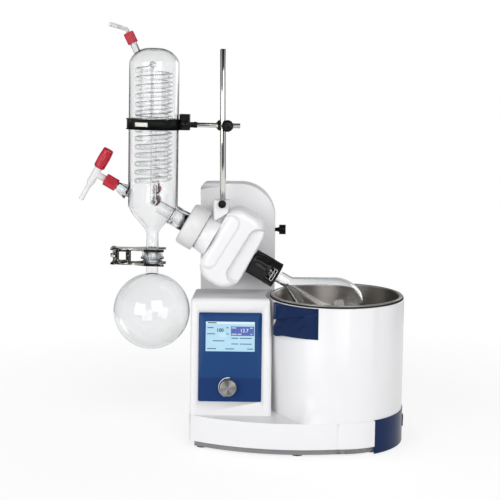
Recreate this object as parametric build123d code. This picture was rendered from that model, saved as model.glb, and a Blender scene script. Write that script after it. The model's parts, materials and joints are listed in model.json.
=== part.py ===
from build123d import *
import os
from math import cos, radians, sin, sqrt, tan

# A bench rotary evaporator, in millimetres. +Z is up, the operator stands at -Y,
# and the origin is on the bench under the middle of the base's front part.
# The flask, the drive head and the condenser all lie in the plane y = 0.

# Fits and walls
run_gap = 0.05          # radial gap of a shaft that turns or slides in its bore
seat_gap = 0.3          # gap beside a curved face that sits next to another
shell_wall = 3.0        # moulded housings
over = 1.0              # how far a cutting tool runs past a face

# Heating bath
bath_x = 80.0           # bath axis, at y = 0
bath_inner_r = 129.5
bath_rim_z = 306.0
bath_floor_z = 156.0
bath_steel = 1.5
bath_corner_r = 14.0
rim_r = 136.5
rim_thick = 2.6
seam_height = 2.6
seam_r = 138.0
jacket_r = 139.5
foot_height = 70.0      # height of the flared foot of the bath jacket
foot_start = -56.0      # degrees from the front, where the foot leaves the circle
foot_end = 8.0
heater_r = 108.0
heater_height = 7.0

# Base
deck_z = 70.0
skirt_z = 17.0
foot_z = 4.0
base_left = -219.0
base_back = 151.0
front_arc_r = 435.4
front_arc_x = -5.4
front_arc_y = 285.4
skirt_r = 141.0         # the base's round end, about the bath axis
base_corner_r = 9.0
plinth_inset = 10.0
skirt_lip = 14.0
rubber_foot_r = 13.0
side_cover_start = 32.7  # degrees from the front, about the bath axis
side_cover_end = 150.0
side_cover_low = 2.0
side_cover_high = 71.0

# Control box
box_left = -218.5
box_right = -52.5
box_front_low = -95.0   # y of the sloping front at the deck
box_front_high = -54.6  # y of the sloping front, carried up to the top
box_back = 57.0
box_top = 303.0
box_top_round = 10.0
box_edge_round = 7.0
box_bath_gap = 8.0      # between the box's hollowed side and the bath jacket

# Front panel, along the sloping face
panel_x = -137.0
panel_width = 128.0
panel_height = 180.0
panel_mid_z = 186.5
panel_thick = 2.3
panel_pocket = 1.5
screen_width = 99.5
screen_height = 60.0
screen_mid_z = 227.5
encoder_x = -139.5
encoder_z = 126.0
encoder_knob_r = 17.0
encoder_knob_height = 15.0
encoder_knob_gap = 1.6
encoder_stem_r = 3.0
encoder_travel = 0.8

# Tower
tower_left = -207.0
tower_right = -50.0
tower_front = 60.0
tower_back = 146.0
tower_low = 85.0
tower_top = box_top + 225.0
tower_round = 74.0
tower_small_round = 12.0
tower_slide_gap = 1.5
rear_cover_top = box_top - 23.0
lift_travel = 150.0
guide_rod_r = 8.0
guide_offset = 54.0
guide_y = 103.0
guide_top = box_top + 97.0
bush_r = 14.0
bush_length = 22.0
bush_low_z = 92.0
bush_high_z = 212.0
actuator_r = 20.0
actuator_top = box_top - 41.0
lift_rod_r = 8.0
lift_rod_low = 85.0
crosshead_z = box_top + 42.0
crosshead_half = 22.0
crosshead_thick = 12.0
plate_top = tower_top - 58.0
plate_thick = 6.0
lock_z = box_top + 124.0
lock_y = 100.0
lock_knob_r = 10.3
lock_knob_near = 9.0    # from the tower's side to the knob
lock_knob_length = 14.0
lock_stud_r = 4.0

# Drive head; u runs along the rotation axis towards the flask, p is up across it
pivot_x = -130.0
pivot_z = box_top + 90.0
axis_fall = 30.0        # degrees below horizontal
head_left_u = -54.0
head_right_top_u = 34.0
head_right_low_u = 38.0
head_top_p = 87.0
head_low_p = -78.0
head_half_depth = 45.0
plate_inset = 14.0      # from the head's outline to the frame's plate
head_front_round = 15.0
recess_depth = 13.0
tilt_shaft_r = 15.0
tilt_hub_r = 25.0
tilt_hub_end = 57.0
tilt_shaft_end = 130.0
tilt_bearing_r = 28.0
tilt_bearing_front = 58.0
tilt_bearing_back = 134.0
collar_u = -80.6
collar_r = 38.0
collar_root_r = 40.0
spigot_u = -98.0
spigot_r = 36.5
nut_far_u = -119.5
nut_near_u = -82.6
nut_r = 45.3
nut_wall = 15.0
sleeve_r = 17.0
sleeve_far_u = -92.0
sleeve_near_u = 58.0
duct_r = 13.0
duct_wall = 2.0
duct_far_u = -184.0
bearing_r = 24.0
bearing_width = 14.0
bearing_far_u = -78.0
bearing_near_u = 16.0
pulley_u = -13.0
pulley_width = 12.0
pulley_r = 30.0
pulley_flange_r = 34.0
motor_p = 52.0
motor_r = 17.0
motor_far_u = -48.0
motor_near_u = -18.0
motor_pulley_r = 7.0
motor_flange_r = 9.0
belt_width = 8.0
belt_thick = 1.6

# Flask clip and evaporating flask
clip_u = 39.0
clip_end_u = 100.0
clip_r = 27.0
clip_bore_r = 20.5
clip_window_u = 84.0
clip_window_length = 11.0
socket_u = 66.0         # mouth of the flask's ground socket
socket_end_u = 98.0
socket_outer_r = 17.0
socket_rim_r = 19.0
cone_big_r = 14.6
flask_neck_r = 13.0
flask_centre_u = 238.0
flask_r = 66.0
flask_cone = 30.0       # half angle of the pear
glass_wall = 2.3
spring_wire = 1.3

# Condenser, which leans one degree; t is the height above the point where its
# axis crosses the rotation axis
lean = 1.0
cross_x = -301.0
cross_z = pivot_z + (pivot_x - cross_x) * tan(radians(axis_fall))
condenser_r = 51.0
condenser_top_t = 314.3
condenser_shoulder_t = 286.3
condenser_low_t = -6.7
cone_mid_r = 41.0
cone_mid_t = -24.7
cone_low_r = 17.5
cone_low_t = -51.7
outlet_r = 12.5
outlet_t = -62.7
stub_r = 21.0
stub_flange_r = 33.0
stub_flange_u = -104.2
stub_end_u = -100.2
weld_u = -150.0
ball_t = -111.0
cup_r = 21.5
ball_r = 17.5
ball_gap = 0.1
joint_bore_r = 9.0
coil_r = 35.3
coil_tube_r = 6.0
coil_pitch = 17.2
coil_low_t = 41.3
coil_turns = 13.5
coil_port_high_t = 23.0
coil_port_low_t = 0.0
port_tube_r = 8.0
port_end_y = 66.0
cap_small_r = 10.5
cap_small_length = 21.0
cap_top = 4.0           # thickness of a screw cap's top
cap_small_hole = 7.1
port_cap_y = 53.0
tail_r = 4.0
tail_bore_r = 2.0
barb_length = 18.0
port_tail_length = 36.0

# Vent at the top and feed valve at the lower left, in the plane y = 0
vent_base_x = -329.5
vent_base_z = cross_z + 305.3
vent_angle = 64.5       # degrees above horizontal, leaning left
vent_cap_distance = 33.3
vent_cap_length = 23.0
vent_neck_r = 7.0
vent_neck_end = 37.3
vent_knee = 8.0         # from the cap to the elbow's knee
vent_tip_x = -387.5
vent_tip_z = vent_base_z + 58.0
feed_cap_x = -387.4
feed_cap_z = cross_z + 42.2
feed_angle = 30.0       # degrees above horizontal, leaning left
feed_cap_r = 12.75
feed_cap_length = 27.0
feed_tube_r = 9.0
valve_leg = 36.7        # from the cap's middle to the stopcock's axis
valve_leg_r = 7.0
valve_body_r = 8.0
valve_body_low = -23.3
valve_tail_end = -62.4
valve_tail_r = 5.0
valve_knob_low = 14.0
valve_knob_high = 57.0
valve_knob_r = 12.2

# Receiving flask, on the condenser's axis
receiver_t = -226.3
receiver_r = 79.6
receiver_neck_r = 13.0
bead_high_t = -120.5
bead_low_t = -127.4
bead_r = 22.0

# Fork clamp on the spherical joint
fork_top_t = -94.0
fork_sheet = 1.5
fork_edge = 5.0
fork_slot_half = 15.2
fork_prong_x = 26.0
fork_root_x = -38.0
fork_end_x = -86.0
fork_half_width = 22.0
fork_tongue_half = 11.0
fork_web_near = -46.0
fork_web_far = -76.0
clamp_screw_x = -80.5

# Rods, boss head and ring clamp
rod_x = -156.5
rod_r = 6.0
rod_low = pivot_z + 75.0
rod_top = rod_low + 338.0
holder_left = -174.5
holder_right = -143.0
holder_half_depth = 17.0
holder_knob_r = 8.0
holder_top = rod_low + 32.0
holder_knob_z = holder_top - 7.0
boss_left = -167.0
boss_right = -140.0
boss_knob_x = -146.4
boss_low = cross_z + 151.8
boss_height = 16.0
boss_front = 1.0
boss_back = 22.0
bar_r = 4.9
bar_y = 13.0
bar_end_x = -121.8
bar_near_x = -219.0
ring_t = 162.3
ring_height = 21.8
ring_web_r = 53.4
ring_web_thick = 1.6
ring_flange_r = 56.5
ring_flange_thick = 1.8
liner_gap = 0.1
tab_left = -245.0
tab_right = -225.0
tab_front = -9.0
tab_back = 19.0
tab_top = cross_z + 183.9
socket_root_half = 5.5
screw_knob_r = 12.0
ring_knob_r = 10.4
screw_knob_thick = 13.0
stud_r = 2.5


# Frames of reference
def slanted_frame(x, z, angle):
    """Plane in y = 0 whose Z axis points at an angle above +X, with local Y along +Y."""
    up = Vector(cos(radians(angle)), 0, sin(radians(angle)))
    return Plane(origin=(x, 0, z), x_dir=(up.Z, 0, -up.X), z_dir=up)


spin = slanted_frame(pivot_x, pivot_z, -axis_fall)
head_side = Plane(origin=(pivot_x, 0, pivot_z), x_dir=spin.z_dir, z_dir=(0, -1, 0))
upright = slanted_frame(cross_x, cross_z, 90 - lean)
vent_line = slanted_frame(vent_base_x, vent_base_z, 180 - vent_angle)
feed_line = slanted_frame(feed_cap_x, feed_cap_z, 180 - feed_angle)
valve_x = feed_cap_x - valve_leg * cos(radians(feed_angle))
valve_z = feed_cap_z + valve_leg * sin(radians(feed_angle))
valve_line = slanted_frame(valve_x, valve_z, 90 - feed_angle)
tower_mid_x = (tower_left + tower_right) / 2
bath_frame = Plane((bath_x, 0, 0))

box_rise = Vector(0, box_front_high - box_front_low, box_top - deck_z).normalized()
box_normal = Vector(0, -box_rise.Z, box_rise.Y)


def on_front(x, z):
    """Plane on the box's sloping front at a given x and height, facing out."""
    share = (z - deck_z) / (box_top - deck_z)
    y = box_front_low + share * (box_front_high - box_front_low)
    return Plane(origin=(x, y, z), x_dir=(1, 0, 0), z_dir=box_normal)


# Shape helpers
def rod(radius, low, high, frame=Plane.XY):
    """Solid cylinder along a frame's Z axis."""
    return frame * Pos(0, 0, (low + high) / 2) * Cylinder(radius, high - low)


def tube(outer, inner, low, high, frame=Plane.XY):
    """Cylinder with a bore right through it."""
    return rod(outer, low, high, frame) - rod(inner, low - over, high + over, frame)


def slab(x, y, z, frame=Plane.XY):
    """Block between pairs of low and high coordinates."""
    middle = Pos((x[0] + x[1]) / 2, (y[0] + y[1]) / 2, (z[0] + z[1]) / 2)
    return frame * middle * Box(x[1] - x[0], y[1] - y[0], z[1] - z[0])


def turned(outline, frame=Plane.XY):
    """Solid of revolution about a frame's Z axis from (radius, height) corners."""
    face = make_face(Polyline(*outline, close=True))
    return frame * revolve(Plane.XZ * face, Axis.Z)


def turned_curve(edges, frame=Plane.XY):
    """Solid of revolution about a frame's Z axis from joined edges in (radius, height)."""
    return frame * revolve(Plane.XZ * make_face(edges), Axis.Z)


def bath_direction(angle, radius):
    """Point at a radius and an angle from the front, about the bath axis."""
    return (radius * sin(radians(angle)), -radius * cos(radians(angle)))


def sector(inner, outer, start, end):
    """Flat part of a ring about the bath axis, between two angles from the front."""
    reach = 2 * outer
    steps = 4
    fan = [bath_direction(start + (end - start) * i / steps, reach) for i in range(steps + 1)]
    wedge = make_face(Polyline((0, 0), *fan, close=True))
    return Pos(bath_x, 0) * ((Circle(outer) - Circle(inner)) & wedge)


def raised(face, low, high):
    """Flat face in XY carried from one height to another."""
    return extrude(Pos(0, 0, low) * face, high - low)


def lobed_knob(radius, low, high, lobes, frame):
    """Screw knob with shallow scallops round its edge."""
    knob = rod(radius, low, high, frame)
    scallop = 0.12 * radius
    for i in range(lobes):
        cutter = rod(scallop, low - over, high + over)
        knob -= frame * Rot(0, 0, 360 * i / lobes) * Pos(radius * 1.06, 0, 0) * cutter
    return knob


# Base
def footprint(inset):
    """Outline of the base: a shallow front arc, square back and round end at the bath."""
    corner_x = bath_x - 50
    block = make_face(
        Polyline(
            (base_left + inset, -base_back * 1.5),
            (bath_x, -base_back * 1.5),
            (bath_x, skirt_r - inset - 2),
            (corner_x, base_back - inset),
            (base_left + inset, base_back - inset),
            close=True,
        )
    )
    block = block & (Pos(front_arc_x, front_arc_y) * Circle(front_arc_r - inset))
    left_corners = block.vertices().group_by(Axis.X)[0]
    block = fillet(left_corners, max(base_corner_r - inset, 2))
    return block + Pos(bath_x, 0) * Circle(skirt_r - inset)


def front_edge(x, inset):
    """Where the base's front arc, drawn in by an inset, passes a given x."""
    return front_arc_y - sqrt((front_arc_r - inset) ** 2 - (x - front_arc_x) ** 2)


def base_cover():
    """White housing: skirt, deck and an inward lip that rests on the plinth."""
    gap = seat_gap
    cut = sector(skirt_r - shell_wall - gap, skirt_r * 1.5, side_cover_start, side_cover_end)
    inner_cut = sector(skirt_r - 2 * shell_wall, skirt_r * 1.5, side_cover_start, side_cover_end)
    cover = raised(footprint(0) - cut, skirt_z, deck_z)
    cover -= raised(footprint(shell_wall) - inner_cut, skirt_z + shell_wall, deck_z - shell_wall)
    cover -= raised(footprint(skirt_lip), skirt_z - over, skirt_z + shell_wall + over)
    cover -= slab(
        (switch_x - 6 * shell_wall, switch_x + over),
        (-switch_half_y - 1, switch_half_y + 1),
        (switch_z - switch_half_z - 1, switch_z + switch_half_z + 1),
    )
    inlet_x, inlet_z = inlet_place
    cover -= slab(
        (inlet_x - inlet_half_width, inlet_x + inlet_half_width),
        (base_back - skirt_lip - over, base_back + over),
        (inlet_z - inlet_half_height, inlet_z + inlet_half_height),
    )
    return cover


def base_plate():
    """Grey steel plinth tray under the housing."""
    plate = raised(footprint(plinth_inset), foot_z, skirt_z)
    return plate - raised(footprint(plinth_inset + 2), foot_z + 2, skirt_z + over)


def rubber_feet():
    """Five rubber feet under the plinth."""
    inset = plinth_inset + rubber_foot_r + shell_wall
    left, middle = base_left + inset, (base_left + bath_x + skirt_r) / 2
    places = [(left, front_edge(left, inset)), (middle, front_edge(middle, inset)),
              (left, base_back - inset)]
    for angle in (37, 158):
        x, y = bath_direction(angle, skirt_r - inset)
        places.append((bath_x + x, y))
    feet = [
        Pos(x, y, 0) * turned([(0, 0), (rubber_foot_r - 1.5, 0), (rubber_foot_r, 1.5),
                               (rubber_foot_r, foot_z), (0, foot_z)])
        for x, y in places
    ]
    return Compound(children=feet)


# Switch in the side cover, on the base's right side
switch_z = 42.0
switch_half_y = 14.0
switch_half_z = 9.0
switch_flange = 2.6
switch_depth = 15.0
rocker_half_y = 10.7
rocker_tilt = 8.0
switch_x = bath_x + skirt_r
rocker_x = switch_x - 2.0


def side_cover():
    """Blue cover round the base's right end, with a cut-out for the switch."""
    wall = sector(skirt_r - shell_wall, skirt_r, side_cover_start, side_cover_end)
    lip = sector(skirt_r - 2 * shell_wall, skirt_r, side_cover_start, side_cover_end)
    cover = raised(wall, side_cover_low, side_cover_high)
    cover += raised(lip, deck_z + seat_gap, side_cover_high)
    return cover - slab(
        (switch_x - 3 * shell_wall, switch_x + over),
        (-switch_half_y, switch_half_y),
        (switch_z - switch_half_z, switch_z + switch_half_z),
    )


def power_switch_frame():
    """Black frame that snaps into the side cover and carries the rocker."""
    face_x = switch_x + 1.0
    y = switch_half_y - seat_gap
    z = switch_half_z - seat_gap
    frame = slab((face_x - switch_flange, face_x), (-y - 3, y + 3),
                 (switch_z - z - 3, switch_z + z + 3))
    frame -= Pos(bath_x, 0, 0) * Cylinder(skirt_r + 0.02, 4 * deck_z)
    frame += slab((switch_x - switch_depth, face_x), (-y, y), (switch_z - z, switch_z + z))
    frame -= slab(
        (switch_x - 9, face_x + over),
        (-rocker_half_y - 1.1, rocker_half_y + 1.1),
        (switch_z - 6.7, switch_z + 6.7),
    )
    pin = Plane((rocker_x, 0, switch_z))
    return frame - rod(1.5 + run_gap, -8.0, 8.0, pin)


def power_rocker():
    """Rocker of the power switch, tipped to its off side."""
    pin = Plane((rocker_x, 0, switch_z))
    body = slab((-4.0, 4.5), (-rocker_half_y, rocker_half_y), (-6.2, 6.2))
    body -= Pos(-4.0, 0, 0) * Box(4.5, 2.4 * rocker_half_y, 14) - Pos(-4, 0, 0) * Box(6, 9, 16)
    rocker = pin * Rot(0, 0, -rocker_tilt) * body
    return rocker + rod(1.5, -7.8, 7.8, pin)


# Mains inlet in the back of the base
inlet_place = (-150.0, 43.0)
inlet_half_width = 14.0
inlet_half_height = 10.5


def mains_inlet():
    """Three-pin mains inlet with its flange on the base's back."""
    x, z = inlet_place
    back = base_back
    wide = inlet_half_width - seat_gap
    tall = inlet_half_height - seat_gap
    inlet = slab((x - wide - 8, x + wide + 8), (back, back + 2.5), (z - tall - 2, z + tall + 2))
    inlet += slab((x - wide, x + wide), (back - 20, back + 2.5), (z - tall, z + tall))
    inlet -= slab((x - 12.2, x + 12.2), (back - 16, back + 4), (z - 8.2, z + 8.2))
    for dx, dz in ((-7.0, -2.0), (7.0, -2.0), (0.0, 2.0)):
        inlet += slab((x + dx - 1, x + dx + 1), (back - 17, back - 6), (z + dz - 2, z + dz + 2))
    return inlet


# Bath
def foot_radius(angle):
    """Reach of the jacket's foot: a straight line off the circle, up to the skirt's arc."""
    straight = jacket_r / cos(radians(angle - foot_start))
    x, y = bath_direction(angle, 1)
    offset_x = bath_x - front_arc_x
    half_b = x * offset_x - y * front_arc_y
    rest = offset_x**2 + front_arc_y**2 - front_arc_r**2
    arc = -half_b + sqrt(half_b**2 - rest)
    return max(jacket_r, min(straight, arc))


def foot_section(height):
    """Outline of the flared foot at a share of its height, from 0 at the deck to 1."""
    spread = (1 - height) ** 2.6
    sunk = jacket_r - 0.4
    count = 8
    points = []
    for i in range(count + 1):
        angle = foot_start + (foot_end - foot_start) * i / count
        radius = sunk + spread * (foot_radius(angle) - sunk)
        points.append(bath_direction(angle, radius if 0 < i < count else sunk))
    outline = Spline(*points) + Polyline(points[-1], (0, 0), points[0])
    return Pos(bath_x, 0, deck_z + height * foot_height) * make_face(outline)


def bath_jacket():
    """White jacket round the bath, with its foot flaring out over the deck."""
    top = bath_rim_z - rim_thick - seam_height - 0.2
    jacket = Pos(bath_x, 0, 0) * rod(jacket_r, deck_z, top)
    jacket = chamfer(jacket.faces().sort_by(Axis.Z)[-1].edges(), 1.2)
    foot = loft([foot_section(share) for share in (0, 0.12, 0.3, 0.6, 1)])
    jacket = jacket + foot
    hole = Pos(bath_x, 0, 0) * rod(jacket_r - shell_wall, deck_z - over, top + over)
    rim = sector(jacket_r - shell_wall, jacket_r * 1.2, side_cover_start - 1, side_cover_end + 1)
    return jacket - hole - raised(rim, deck_z - over, side_cover_high + seat_gap)


def bath_vessel():
    """Steel bath with a rolled rim and a rounded floor corner."""
    r, wall, corner = bath_inner_r, bath_steel, bath_corner_r
    turn = 0.2929 * corner
    low = bath_floor_z - wall
    edges = (
        Line((0, low), (r + wall - corner, low))
        + ThreePointArc((r + wall - corner, low), (r + wall - turn, low + turn),
                        (r + wall, low + corner))
        + Line((r + wall, low + corner), (r + wall, bath_rim_z - rim_thick))
        + Line((r + wall, bath_rim_z - rim_thick), (rim_r - 1, bath_rim_z - rim_thick))
        + ThreePointArc((rim_r - 1, bath_rim_z - rim_thick), (rim_r, bath_rim_z - rim_thick / 2),
                        (rim_r - 1, bath_rim_z))
        + Line((rim_r - 1, bath_rim_z), (r + 0.8, bath_rim_z))
        + Line((r + 0.8, bath_rim_z), (r, bath_rim_z - 0.8))
        + Line((r, bath_rim_z - 0.8), (r, bath_floor_z + corner - wall))
        + ThreePointArc((r, bath_floor_z + corner - wall),
                        (r - turn, bath_floor_z + turn), (r - corner + wall, bath_floor_z))
        + Line((r - corner + wall, bath_floor_z), (0, bath_floor_z))
        + Line((0, bath_floor_z), (0, low))
    )
    return turned_curve(edges, bath_frame)


def bath_seam_ring():
    """Black gasket between the bath's rim and the jacket."""
    high = bath_rim_z - rim_thick
    return tube(seam_r, bath_inner_r + bath_steel + seat_gap, high - seam_height, high, bath_frame)


def bath_heater():
    """Ring heater against the underside of the bath, with its thermostat post."""
    high = bath_floor_z - bath_steel
    ring = tube(heater_r, heater_r - 42, high - heater_height, high, bath_frame)
    post = rod(9, high - 24, high, Plane((bath_x + heater_r - 21, 0, 0)))
    legs = [
        rod(5, deck_z, high - heater_height, Plane((bath_x + x, y, 0)))
        for x, y in ((-80, 0), (40, 69), (40, -69))
    ]
    return ring + post + legs[0] + legs[1] + legs[2]


handle_start = -62.0     # degrees from the front
handle_end = -16.6
handle_low = bath_rim_z - 69.0
handle_high = bath_rim_z - 6.5
handle_edge = 0.6       # thickness at the thin end
handle_shift = 13.0     # how far the outer face's axis lies from the bath's
handle_r = sqrt(
    (jacket_r + handle_edge + handle_shift * sin(radians(handle_end))) ** 2
    + (handle_shift * cos(radians(handle_end))) ** 2
)
scoop_angle = -46.0     # degrees from the front, the middle of the finger scoop
scoop_size = 26.0
scoop_floor = 1.6       # what is left of the grip under the scoop's upper edge
scoop_tilt = 7.0        # the scoop is deeper at its upper edge


def bath_handle():
    """Blue grip on the jacket: thick at one end, with a scoop over a rising ridge."""
    blank = raised(sector(jacket_r, jacket_r * 1.2, handle_start, handle_end),
                   handle_low, handle_high)
    bulge = Pos(bath_x - handle_shift, 0, 0) * rod(handle_r, handle_low, handle_high)
    out_x, out_y = bath_direction(scoop_angle, 1)
    floor_r = jacket_r + scoop_floor
    facing = Plane(
        origin=(bath_x + floor_r * out_x, floor_r * out_y, (handle_low + handle_high) / 2),
        x_dir=(-out_y, out_x, 0),
        z_dir=(out_x, out_y, 0),
    )
    s = scoop_size
    tip, back_top, back_low = (s, 0.6 * s), (-2 * s, 0.15 * s), (-2 * s, -s)
    scoop = make_face(
        Spline(back_top, (-0.85 * s, 0.08 * s), (0, 0.15 * s), tip)
        + Spline(tip, (0.15 * s, -0.23 * s), (-0.92 * s, -0.88 * s), back_low)
        + Line(back_low, back_top)
    )
    cut = Pos(0, 0.6 * s, 0) * Rot(-scoop_tilt, 0, 0) * Pos(0, -0.6 * s, 0) * extrude(scoop, s)
    return (blank & bulge) - facing * cut


def bath_handles():
    """The two bath grips, opposite each other."""
    front = bath_handle()
    rear = Pos(bath_x, 0, 0) * Rot(0, 0, 180) * Pos(-bath_x, 0, 0) * front
    return Compound(children=[front, rear])


# Control box
def box_form(inset):
    """Block of the control box with a sloping front, rounded at the top and the edges."""
    slope = (box_front_high - box_front_low) / (box_top - deck_z)
    run = inset * sqrt(1 + slope**2)
    top = box_top - inset
    low = deck_z if inset == 0 else deck_z - over
    side = make_face(
        Polyline(
            (box_front_low + run + slope * (low - deck_z), low),
            (box_front_low + run + slope * (top - deck_z), top),
            (box_back - inset, top),
            (box_back - inset, low),
            close=True,
        )
    )
    width = box_right - box_left - 2 * inset
    block = Pos(box_left + inset, 0, 0) * extrude(Plane.YZ * side, width)
    top_front = block.edges().filter_by(Axis.X).group_by(Axis.Z)[-1].sort_by(Axis.Y)[0]
    block = fillet(top_front, box_top_round - inset)
    front_edges = [e for e in block.edges() if e.length > 150 and e.center().Y < -60
                   and abs(e.tangent_at(0.5).X) < 0.01]
    block = fillet(front_edges, box_edge_round - inset)
    reach = jacket_r + box_bath_gap + inset
    return block - (Pos(bath_x, 0, 0) * rod(reach, deck_z - 2 * over, box_top + over))


def control_housing():
    """White shell of the control box, with the panel's pocket and window."""
    housing = box_form(0) - box_form(shell_wall)
    face = on_front(panel_x, panel_mid_z)
    pocket = RectangleRounded(panel_width + 2 * 0.2, panel_height + 2 * 0.2, 3.2)
    window = Rectangle(panel_width - 12, panel_height - 12)
    housing -= extrude(face * Pos(0, 0, -panel_pocket) * pocket, panel_pocket + over)
    return housing - extrude(face * Pos(0, 0, -2 * shell_wall) * window, 3 * shell_wall)


def control_panel():
    """Blue front panel with the screen's window and the encoder's hole."""
    face = on_front(panel_x, panel_mid_z)
    plate = extrude(face * Pos(0, 0, -panel_pocket) * RectangleRounded(
        panel_width, panel_height, 3), panel_thick)
    window = Rectangle(screen_width + 0.4, screen_height + 0.4)
    plate -= extrude(on_front(panel_x, screen_mid_z) * Pos(0, 0, -3) * window, 6)
    hole = on_front(encoder_x, encoder_z)
    return plate - rod(encoder_stem_r + 0.5, -3, 3, hole)


module_back = -9.0
board_front = -11.4
board_thick = 1.6


def display_screen():
    """Screen glass with its display module behind the panel."""
    face = on_front(panel_x, screen_mid_z)
    glass = extrude(face * Pos(0, 0, -panel_pocket) * Rectangle(screen_width, screen_height),
                    panel_thick + 0.2)
    module = extrude(face * Pos(0, 0, module_back) * Rectangle(
        screen_width + 8, screen_height + 8), -panel_pocket - module_back)
    return glass + module


def control_board():
    """Circuit board on four posts behind the panel, with the encoder's body."""
    face = on_front(panel_x, panel_mid_z)
    board = extrude(face * Pos(0, 0, board_front - board_thick) * Rectangle(
        panel_width - 14, panel_height - 14), board_thick)
    for x in (-1, 1):
        for y in (-1, 1):
            board += face * Pos(x * (panel_width / 2 - 9.5), y * (panel_height / 2 - 9.5), 0) * (
                rod(2.8, board_front, -panel_pocket))
    knob_axis = on_front(encoder_x, encoder_z)
    encoder = extrude(knob_axis * Pos(0, 0, board_front) * Rectangle(14, 14),
                      -panel_pocket - 0.6 - board_front)
    encoder += rod(2 * encoder_stem_r, -panel_pocket - 0.7, -panel_pocket, knob_axis)
    return board + (encoder - rod(encoder_stem_r + run_gap, board_front + 0.4, 0, knob_axis))


def encoder_stem():
    """Stem of the turn-and-push knob; it slides into the encoder when pressed."""
    knob_axis = on_front(encoder_x, encoder_z)
    low = board_front + 0.4 + encoder_travel + 0.6
    return rod(encoder_stem_r, low, encoder_knob_gap + 0.7 * encoder_knob_height, knob_axis)


def encoder_knob():
    """Turned metal knob on the stem."""
    low = encoder_knob_gap
    high = low + encoder_knob_height
    r = encoder_knob_r
    blank = [(0, low), (r - 1, low), (r, low + 1), (r, high - 2.4), (r - 2.4, high - 0.6),
             (r - 3, high), (0, high)]
    knob_axis = on_front(encoder_x, encoder_z)
    knob = turned(blank, knob_axis)
    bore_end = low + 0.7 * encoder_knob_height + seat_gap
    return knob - rod(encoder_stem_r + run_gap, low - over, bore_end, knob_axis)


# Tower
def rear_cover():
    """White three-sided cover behind the box that the tower slides in."""
    gap = tower_slide_gap
    outer = slab(
        (tower_left - gap - shell_wall, tower_right + gap + shell_wall),
        (box_back, tower_back + gap + shell_wall),
        (deck_z, rear_cover_top),
    )
    outer = fillet(outer.edges().filter_by(Axis.Z).group_by(Axis.Y)[-1], 10)
    well = slab(
        (tower_left - gap, tower_right + gap),
        (box_back - over, tower_back + gap),
        (deck_z - over, rear_cover_top + over),
    )
    well = fillet(well.edges().filter_by(Axis.Z).group_by(Axis.Y)[-1], 7)
    cover = outer - well
    return cover - (Pos(bath_x, 0, 0) * rod(skirt_r, deck_z - over, rear_cover_top + over))


def tower_outline(inset):
    """Front view of the tower: one large round corner at the top right, a small one left."""
    left, right = tower_left + inset, tower_right - inset
    low, high = tower_low - (over if inset else 0), tower_top - inset
    big, small = tower_round - inset, tower_small_round - inset
    return make_face(
        Line((left, low), (left, high - small))
        + ThreePointArc((left, high - small), (left + 0.2929 * small, high - 0.2929 * small),
                        (left + small, high))
        + Line((left + small, high), (right - big, high))
        + ThreePointArc((right - big, high), (right - 0.2929 * big, high - 0.2929 * big),
                        (right, high - big))
        + Line((right, high - big), (right, low))
        + Line((right, low), (left, low))
    )


def tower_form(inset):
    """Block of the tower, with its back edges rounded."""
    depth = tower_back - tower_front - 2 * inset
    block = extrude(Plane.XZ * tower_outline(inset), -depth)
    block = Pos(0, tower_front + inset, 0) * block
    back = block.faces().sort_by(Axis.Y)[-1]
    back_edges = [e for e in back.edges() if e.center().Z > tower_low + 1]
    return fillet(back_edges, 12 - inset)


def tower_cover():
    """White moulded tower, hollow and open at the bottom."""
    cover = tower_form(0) - tower_form(shell_wall)
    pivot = Plane(origin=(pivot_x, 0, pivot_z), z_dir=(0, 1, 0))
    cover -= rod(tilt_bearing_r + 0.5, tower_front - over, tower_front + 2 * shell_wall, pivot)
    lock = Plane(origin=(0, lock_y, lock_z), z_dir=(1, 0, 0))
    return cover - rod(lock_stud_r + 1, tower_right - 2 * shell_wall, tower_right + over, lock)


def tower_frame():
    """Steel frame in the tower: back plate, bush shelves, crosshead and tilt bearing."""
    half_plate = (tower_right - tower_left) / 2 - shell_wall - tower_small_round
    half_shelf = guide_offset + bush_r + 4
    back = tower_back - shell_wall
    plate_front = back - plate_thick
    shelf_front = guide_y - bush_r - 3
    frame = slab((tower_mid_x - half_plate, tower_mid_x + half_plate), (plate_front, back),
                 (tower_low + 10, plate_top))
    for bush_z in (bush_low_z, bush_high_z):
        middle = bush_z + bush_length / 2
        shelf = slab((tower_mid_x - half_shelf, tower_mid_x + half_shelf),
                     (shelf_front, plate_front), (middle - 6, middle + 6))
        shelf -= rod(actuator_r + 3, middle - 8, middle + 8, Plane((tower_mid_x, guide_y, 0)))
        for side in (-1, 1):
            place = Plane((tower_mid_x + side * guide_offset, guide_y, 0))
            shelf -= rod(bush_r + run_gap, middle - 8, middle + 8, place)
        frame += shelf
    frame += slab((tower_mid_x - crosshead_half, tower_mid_x + crosshead_half),
                  (shelf_front, plate_front), (crosshead_z, crosshead_z + crosshead_thick))
    pivot = Plane(origin=(pivot_x, 0, pivot_z), z_dir=(0, 1, 0))
    frame += rod(tilt_bearing_r, tilt_bearing_front, plate_front, pivot)
    frame += slab((pivot_x + 20, pivot_x + 44), (lock_y - 10, plate_front),
                  (lock_z - 12, lock_z + 10))
    frame -= rod(tilt_shaft_r + run_gap, tilt_bearing_front - over, tilt_bearing_back, pivot)
    lock = Plane(origin=(0, lock_y, lock_z), z_dir=(1, 0, 0))
    return frame - rod(lock_stud_r + run_gap, pivot_x + 24, pivot_x + 50, lock)


def guide_bushes():
    """Four plain bushes that slide on the guide rails."""
    bushes = []
    for side in (-1, 1):
        place = Plane((tower_mid_x + side * guide_offset, guide_y, 0))
        for low in (bush_low_z, bush_high_z):
            bushes.append(tube(bush_r, guide_rod_r + run_gap, low, low + bush_length, place))
    return Compound(children=bushes)


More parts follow.
